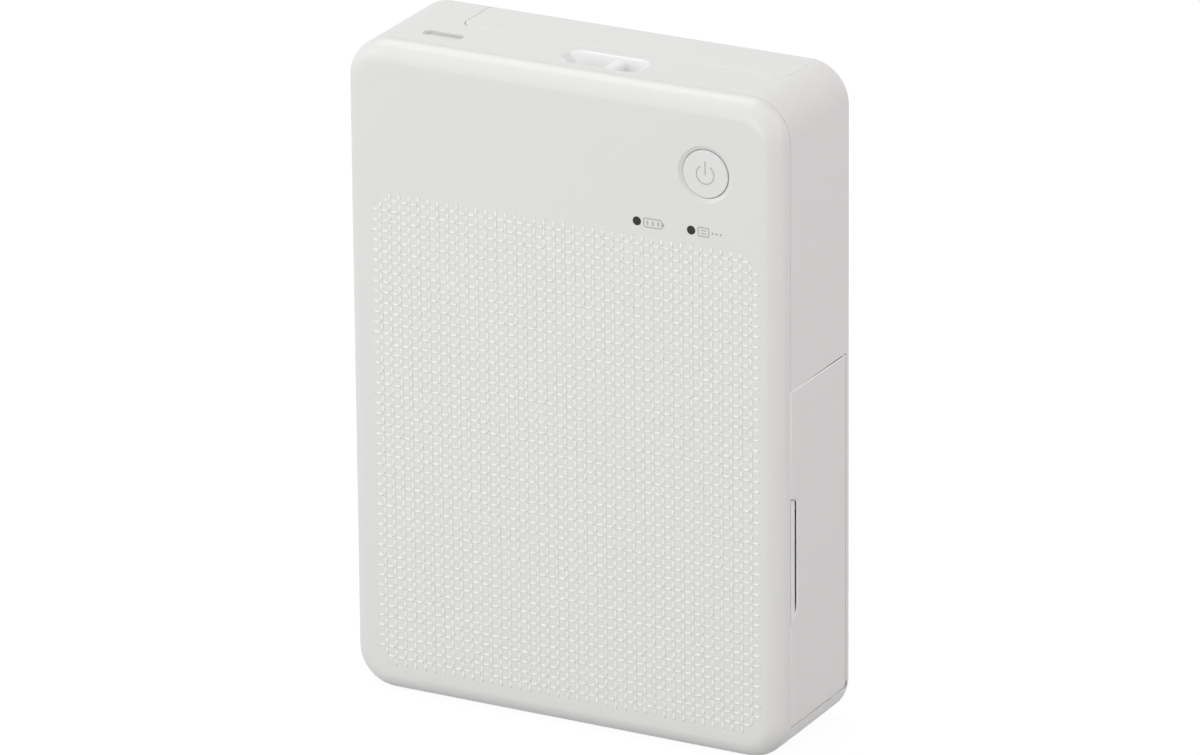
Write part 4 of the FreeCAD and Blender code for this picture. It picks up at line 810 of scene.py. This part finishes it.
def port_nose_mesh(settings):
    """The port's nose: a rim round a shallow insulator, with the contact tongue standing in it."""
    middle = (PORT_LOW + PORT_HIGH) / 2
    foot = PORT_HIGH.z
    rim = CAD_BOX[1].z - settings.depth
    bm = bmesh.new()

    def loop(width, height, z):
        half = Vector((width / 2, height / 2))
        outline = rounded_outline(middle.x - half.x, middle.x + half.x,
                                  middle.y - half.y, middle.y + half.y, half.y * PORT_ROUND)
        return [bm.verts.new((x, y, z)) for x, y in outline]

    outer = (settings.width, settings.height)
    inner = (settings.width - 2 * settings.wall, settings.height - 2 * settings.wall)
    shell = [loop(*outer, foot), loop(*outer, rim), loop(*inner, rim),
             loop(*inner, rim - settings.floor)]
    tongue = [loop(settings.tongue_width, settings.tongue, z)
              for z in (foot, rim - settings.tongue_drop)]
    for loops in (shell, tongue):
        for first, second in zip(loops, loops[1:]):
            join_loops(bm, first, second)
        bm.faces.new(loops[0])
        bm.faces.new(loops[-1])
    return finished_mesh(bm, "port_nose")


class PRINTER_OT_electronics(bpy.types.Operator):
    """Finishes the board, its parts, the head's cable and the battery"""

    bl_idname = "printer.electronics"
    bl_label = "Electronics"

    def execute(self, context):
        finish_nodes({"flex_amber": flex_amber(), "board_green": board_green(),
                      "chip_black": chip_black(), "shield_tin": shield_tin(),
                      "socket_cream": socket_cream(), "lamp_clear": lamp_clear(),
                      "battery_wrap": battery_wrap()})
        insulator = moulded("port_nose_finish", (0.74, 0.74, 0.73), 0.0001, 0.000002, 0.4)
        add_piece("port_nose", port_nose_mesh(context.scene.printer_port), "body",
                  insulator.material)
        return {"FINISHED"}


def ridge_mesh(settings):
    """One ridge along X, lying on the XY plane: a low loaf with rounded ends and a closed foot."""
    half = settings.ridge_length / 2
    width = settings.ridge_width / 2
    shoulder = half - settings.ridge_width * RIDGE_SLOPE
    crown = settings.ridge_height + settings.ridge_sink
    stations = ((-half, RIDGE_END, 0.0), (-shoulder, 1.0, 1.0), (shoulder, 1.0, 1.0),
                (half, RIDGE_END, 0.0))
    arc = [math.pi * step / RIDGE_STEPS for step in range(RIDGE_STEPS + 1)]
    bm = bmesh.new()
    rows = []
    for x, spread, rise in stations:
        row = []
        for turn in arc:
            y = -math.cos(turn) * width * spread
            z = math.sin(turn) * crown * rise - settings.ridge_sink
            row.append(bm.verts.new((x, y, z)))
        rows.append(row)
    for first, second in zip(rows, rows[1:]):
        for index in range(RIDGE_STEPS):
            face = bm.faces.new((first[index], second[index], second[index + 1], first[index + 1]))
            face.smooth = True
    rim = [row[0] for row in rows] + rows[-1][1:]
    rim += [row[-1] for row in reversed(rows[:-1])] + rows[0][-2:0:-1]
    bm.faces.new(rim)
    return finished_mesh(bm, "ridge")


def lattice_tree():
    """Nodes that lay ridges on the edges of a grid's cells, with open ends at its border."""
    tree = bpy.data.node_groups.new("Ridge lattice", "GeometryNodeTree")
    for name, kind in (("Ridge", "Geometry"), ("Columns", "Int"), ("Rows", "Int"),
                       ("Pitch", "Float"), ("Place", "Vector"), ("Finish", "Material")):
        tree.interface.new_socket(name=name, in_out="INPUT", socket_type=f"NodeSocket{kind}")
    tree.interface.new_socket(name="Lattice", in_out="OUTPUT", socket_type="NodeSocketGeometry")
    nodes = tree.nodes
    link = tree.links.new
    inputs = nodes.new("NodeGroupInput").outputs

    def ridges(fewer_columns, fewer_rows, turn):
        """Ridges at the middles of cell edges that run one way, without the four at the corners."""
        columns = arithmetic(tree, "SUBTRACT", inputs["Columns"], fewer_columns)
        rows = arithmetic(tree, "SUBTRACT", inputs["Rows"], fewer_rows)
        width, height = (
            arithmetic(tree, "MULTIPLY", arithmetic(tree, "SUBTRACT", count, 1), inputs["Pitch"])
            for count in (columns, rows))
        grid = nodes.new("GeometryNodeMeshGrid")
        link(width, grid.inputs["Size X"])
        link(height, grid.inputs["Size Y"])
        link(columns, grid.inputs["Vertices X"])
        link(rows, grid.inputs["Vertices Y"])
        place = nodes.new("ShaderNodeSeparateXYZ")
        link(nodes.new("GeometryNodeInputPosition").outputs["Position"], place.inputs["Vector"])
        half_cell = arithmetic(tree, "DIVIDE", inputs["Pitch"], 2)
        outer = []
        for axis, reach in (("X", width), ("Y", height)):
            border = arithmetic(tree, "DIVIDE", reach, 2)
            edge = arithmetic(tree, "SUBTRACT", border, half_cell)
            distance = arithmetic(tree, "ABSOLUTE", place.outputs[axis], 0)
            outer.append(arithmetic(tree, "GREATER_THAN", distance, edge))
        corner = arithmetic(tree, "MULTIPLY", *outer)
        trimmed = nodes.new("GeometryNodeDeleteGeometry")
        trimmed.domain = "POINT"
        link(grid.outputs["Mesh"], trimmed.inputs["Geometry"])
        link(corner, trimmed.inputs["Selection"])
        laid = nodes.new("GeometryNodeInstanceOnPoints")
        laid.inputs["Rotation"].default_value = (0.0, 0.0, turn)
        link(trimmed.outputs["Geometry"], laid.inputs["Points"])
        link(inputs["Ridge"], laid.inputs["Instance"])
        return laid.outputs["Instances"]

    joined = nodes.new("GeometryNodeJoinGeometry")
    link(ridges(0, 1, 0.0), joined.inputs["Geometry"])
    link(ridges(1, 0, math.pi / 2), joined.inputs["Geometry"])
    stood = nodes.new("GeometryNodeTransform")
    stood.inputs["Rotation"].default_value = (math.pi / 2, 0.0, 0.0)
    link(joined.outputs["Geometry"], stood.inputs["Geometry"])
    link(inputs["Place"], stood.inputs["Translation"])
    real = nodes.new("GeometryNodeRealizeInstances")
    link(stood.outputs["Geometry"], real.inputs["Geometry"])
    painted = nodes.new("GeometryNodeSetMaterial")
    link(real.outputs["Geometry"], painted.inputs["Geometry"])
    link(inputs["Finish"], painted.inputs["Material"])
    output = nodes.new("NodeGroupOutput")
    link(painted.outputs["Geometry"], output.inputs["Lattice"])
    return tree


def grown_mesh(seed, tree, values):
    """The plain mesh that a geometry nodes tree makes from a seed mesh."""
    carrier = link_new("carrier", seed)
    modifier = carrier.modifiers.new("Nodes", "NODES")
    modifier.node_group = tree
    sockets = {item.name: item.identifier for item in tree.interface.items_tree
               if item.in_out == "INPUT"}
    for name, value in values.items():
        modifier[sockets[name]] = value
    evaluated = carrier.evaluated_get(bpy.context.evaluated_depsgraph_get())
    mesh = bpy.data.meshes.new_from_object(evaluated)
    carrier.modifiers.remove(modifier)
    bpy.data.objects.remove(carrier)
    return mesh


class PRINTER_OT_lattice(bpy.types.Operator):
    """Lays the raised lattice on the front cover"""

    bl_idname = "printer.lattice"
    bl_label = "Front lattice"

    def execute(self, context):
        settings = context.scene.printer_lattice
        grain = context.scene.printer_shell.grain
        polished = grain / 100
        # The ridges' lighter white is a painted highlight; their smoother grain and lower roughness
        # are real
        material = clean_white("ridge_white_finish", settings.ridge, grain, polished, 0.36).material
        height = settings.rows * settings.pitch
        middle = (COVER_LOW.x + COVER_HIGH.x) / 2 + settings.middle_x
        place = (middle, COVER_LOW.y, settings.low + height / 2)
        mesh = grown_mesh(ridge_mesh(settings), lattice_tree(),
                          {"Columns": settings.columns, "Rows": settings.rows,
                           "Pitch": settings.pitch, "Place": place, "Finish": material})
        add_piece("front_lattice", mesh, "body", material)
        return {"FINISHED"}


def stroke_points(points, width, closed=False):
    """The left and right sides of a stroke along (x, z) points."""
    count = len(points)
    for index, point in enumerate(points):
        before = points[index - 1] if closed or index else point
        after = points[(index + 1) % count] if closed or index < count - 1 else point
        run = Vector(after) - Vector(before)
        normal = Vector((-run.y, run.x)).normalized() * (width / 2)
        yield Vector(point) + normal, Vector(point) - normal


def add_stroke(bm, points, width, face_y, thickness, closed=False):
    """Adds a flat printed stroke along (x, z) points, standing proud of a face that looks to -Y."""
    rings = []
    for left, right in stroke_points(points, width, closed):
        corners = ((left, face_y), (right, face_y), (right, face_y - thickness),
                   (left, face_y - thickness))
        rings.append([bm.verts.new((point.x, y, point.y)) for point, y in corners])
    pairs = list(zip(rings, rings[1:]))
    if closed:
        pairs.append((rings[-1], rings[0]))
    for first, second in pairs:
        join_loops(bm, first, second)
    if not closed:
        bm.faces.new(rings[0])
        bm.faces.new(rings[-1][::-1])


def power_symbol_mesh(settings):
    """The broken ring and the bar on the button."""
    middle = (BUTTON_LOW + BUTTON_HIGH) / 2
    centre = (middle.x, middle.z - settings.ring_drop)
    gap = settings.ring_gap / 2
    ring = arc_points(centre, settings.ring_radius, math.pi / 2 + gap, math.pi * 2.5 - gap,
                      RING_STEPS)
    bar = [centre, (centre[0], centre[1] + settings.bar_length)]
    bm = bmesh.new()
    for points in (ring, bar):
        add_stroke(bm, points, settings.stroke, BUTTON_LOW.y, settings.thickness)
    return finished_mesh(bm, "power_symbol")


def light_symbols_mesh(settings):
    """A battery beside the charge light, and a sheet with three dots beside the status light."""
    height = settings.label_height
    thin = settings.label_stroke
    light_z = (CHARGE_LOW.z + CHARGE_HIGH.z) / 2
    low = light_z - height / 2
    bm = bmesh.new()

    def stroke(points, width, closed=False):
        add_stroke(bm, points, width, COVER_LOW.y, settings.thickness, closed)

    x0 = (CHARGE_LOW.x + CHARGE_HIGH.x) / 2 + settings.label_gap
    x1 = x0 + height * BATTERY_LENGTH
    rounding = height * BATTERY_ROUND
    stroke(rounded_outline(x0, x1, low, low + height, rounding), thin, closed=True)
    cap = x1 + thin * CAP_GAP
    stroke([(cap, light_z - rounding), (cap, light_z + rounding)], thin * CAP_STROKE)
    for share in BATTERY_BARS:
        x = x0 + (x1 - x0) * share
        stroke([(x, low + height * end) for end in BATTERY_BAR_ENDS], thin * BAR_STROKE)

    x0 = (STATUS_LOW.x + STATUS_HIGH.x) / 2 + settings.label_gap
    x1 = x0 + height * SHEET_LENGTH
    margin = height * SHEET_MARGIN
    stroke(rounded_outline(x0, x1, low, low + height, height * SHEET_ROUND), thin, closed=True)
    for share in SHEET_LINES:
        z = low + height * share
        stroke([(x0 + margin, z), (x1 - margin, z)], thin)
    for share in DOTS:
        centre = (x1 + height * share, light_z)
        stroke(arc_points(centre, thin / 2, 0.0, math.pi * 1.8, DOT_STEPS), thin, closed=True)
    return finished_mesh(bm, "light_symbols")


class PRINTER_OT_marks(bpy.types.Operator):
    """Prints the power symbol and the small symbols beside the lights"""

    bl_idname = "printer.marks"
    bl_label = "Printed marks"

    def execute(self, context):
        settings = context.scene.printer_marks
        add_piece("power_symbol", power_symbol_mesh(settings), "power_button",
                  ink_mark("power_symbol_ink", settings.button_ink).material)
        add_piece("light_symbols", light_symbols_mesh(settings), "body",
                  ink_mark("light_symbol_ink", settings.ink).material)
        return {"FINISHED"}


def camera_matrix(settings):
    """Where the camera stands, and how it is turned, from its angles about the target."""
    turn = settings.azimuth
    rise = settings.elevation
    target = Vector((settings.target_x, 0.0, settings.target_z))
    level = math.cos(rise)
    back = Vector((math.sin(turn) * level, -math.cos(turn) * level, math.sin(rise)))
    right = Vector((math.cos(turn), math.sin(turn), 0.0))
    up = back.cross(right)
    cosine = math.cos(settings.roll)
    sine = math.sin(settings.roll)
    rolled_right = right * cosine + up * sine
    rolled_up = up * cosine - right * sine
    matrix = Matrix((rolled_right, rolled_up, back)).transposed().to_4x4()
    matrix.translation = target + back * settings.distance
    return matrix


def add_lamp(name, place, size, tone, power):
    """A round lamp that looks at the middle of the object."""
    data = bpy.data.lights.new(name, "AREA")
    data.shape = "DISK"
    data.size = size
    data.energy = power
    data.color = tone
    lamp = link_new(name, data)
    lamp.location = place
    lamp.rotation_euler = (Vector(LAMP_AIM) - Vector(place)).to_track_quat("-Z", "Y").to_euler()


def seen_directly(tree):
    """One for a ray from the camera, a mirror or clear glass, nought for the room's own light."""
    path = tree.nodes.new("ShaderNodeLightPath").outputs
    total = path["Is Camera Ray"]
    for name in ("Is Glossy Ray", "Is Transmission Ray"):
        total = arithmetic(tree, "MAXIMUM", total, path[name])
    return total


def split_by_ray(tree, kind, unseen, seen):
    """Ends a tree with one shader for the room's own light, and one where it is seen directly."""
    mixed = tree.nodes.new("ShaderNodeMixShader")
    output = tree.nodes.new(kind)
    tree.links.new(seen_directly(tree), mixed.inputs["Fac"])
    tree.links.new(unseen, mixed.inputs[1])
    tree.links.new(seen, mixed.inputs[2])
    tree.links.new(mixed.outputs["Shader"], output.inputs["Surface"])


def make_world(settings):
    world = bpy.data.worlds.new("Studio")
    bpy.context.scene.world = world
    tree = empty_tree(world)
    room = tree.nodes.new("ShaderNodeBackground")
    room.inputs["Strength"].default_value = settings.ambient
    backdrop = tree.nodes.new("ShaderNodeBackground")
    for shader in (room, backdrop):
        shader.inputs["Color"].default_value = (*WHITE, 1.0)
    split_by_ray(tree, "ShaderNodeOutputWorld", room.outputs["Background"],
                 backdrop.outputs["Background"])


def floor_material(settings):
    """A pale floor that the camera sees as white, apart from the object's shadow."""
    material = bpy.data.materials.new("floor_finish")
    tree = empty_tree(material)
    plain = tree.nodes.new("ShaderNodeBsdfDiffuse")
    plain.inputs["Color"].default_value = (*settings.floor, 1.0)
    soft = tree.nodes.new("ShaderNodeBsdfDiffuse")
    soft.inputs["Color"].default_value = (FLOOR_SEEN, FLOOR_SEEN, FLOOR_SEEN, 1.0)
    glow = tree.nodes.new("ShaderNodeEmission")
    glow.inputs["Strength"].default_value = FLOOR_GLOW
    seen = tree.nodes.new("ShaderNodeAddShader")
    tree.links.new(soft.outputs["BSDF"], seen.inputs[0])
    tree.links.new(glow.outputs["Emission"], seen.inputs[1])
    split_by_ray(tree, "ShaderNodeOutputMaterial", plain.outputs["BSDF"], seen.outputs["Shader"])
    return material


class PRINTER_OT_studio(bpy.types.Operator):
    """Sets the camera, the lamps and the floor"""

    bl_idname = "printer.studio"
    bl_label = "Studio"

    def execute(self, context):
        settings = context.scene.printer_studio
        scene = context.scene
        scene.view_settings.view_transform = "Standard"
        data = bpy.data.cameras.new("camera")
        data.sensor_width = 36.0
        data.sensor_fit = "HORIZONTAL"
        data.lens = settings.lens
        data.clip_start = 0.01
        data.clip_end = 20.0
        camera = link_new("camera", data)
        camera.matrix_world = camera_matrix(settings)
        scene.camera = camera

        for name, (place, size, tone) in LAMPS.items():
            add_lamp(name, place, size, tone, getattr(settings, f"{name}_power"))
        make_world(settings)

        bm = bmesh.new()
        bmesh.ops.create_grid(bm, x_segments=1, y_segments=1, size=FLOOR_SIZE)
        mesh = finished_mesh(bm, "floor")
        mesh.materials.append(floor_material(settings))
        floor = link_new("floor", mesh)
        return {"FINISHED"}


OPERATORS = (PRINTER_OT_shells, PRINTER_OT_mechanism, PRINTER_OT_electronics, PRINTER_OT_lattice,
             PRINTER_OT_marks, PRINTER_OT_studio)
SETTINGS = {"printer_shell": PrinterShellSettings, "printer_port": PrinterPortSettings,
            "printer_lattice": PrinterLatticeSettings, "printer_marks": PrinterMarkSettings,
            "printer_studio": PrinterStudioSettings}


class PRINTER_PT_panel(bpy.types.Panel):
    """Lists the printer's sizes, colours and steps"""

    bl_idname = "PRINTER_PT_panel"
    bl_label = "Photo printer"
    bl_space_type = "VIEW_3D"
    bl_region_type = "UI"
    bl_category = "Photo printer"

    def draw(self, context):
        for operator in OPERATORS:
            self.layout.operator(operator.bl_idname)
        for name, group in SETTINGS.items():
            settings = getattr(context.scene, name)
            for key in group.__annotations__:
                self.layout.prop(settings, key)


def register():
    for group in SETTINGS.values():
        bpy.utils.register_class(group)
    for kind in (*OPERATORS, PRINTER_PT_panel):
        bpy.utils.register_class(kind)
    for name, group in SETTINGS.items():
        setattr(bpy.types.Scene, name, PointerProperty(type=group))


def unregister():
    for name in SETTINGS:
        delattr(bpy.types.Scene, name)
    for kind in reversed((*OPERATORS, PRINTER_PT_panel)):
        bpy.utils.unregister_class(kind)
    for group in reversed(SETTINGS.values()):
        bpy.utils.unregister_class(group)


def main():
    register()
    bpy.ops.printer.shells()
    bpy.ops.printer.mechanism()
    bpy.ops.printer.electronics()
    bpy.ops.printer.lattice()
    bpy.ops.printer.marks()
    bpy.ops.printer.studio()


if __name__ == "__main__":
    main()
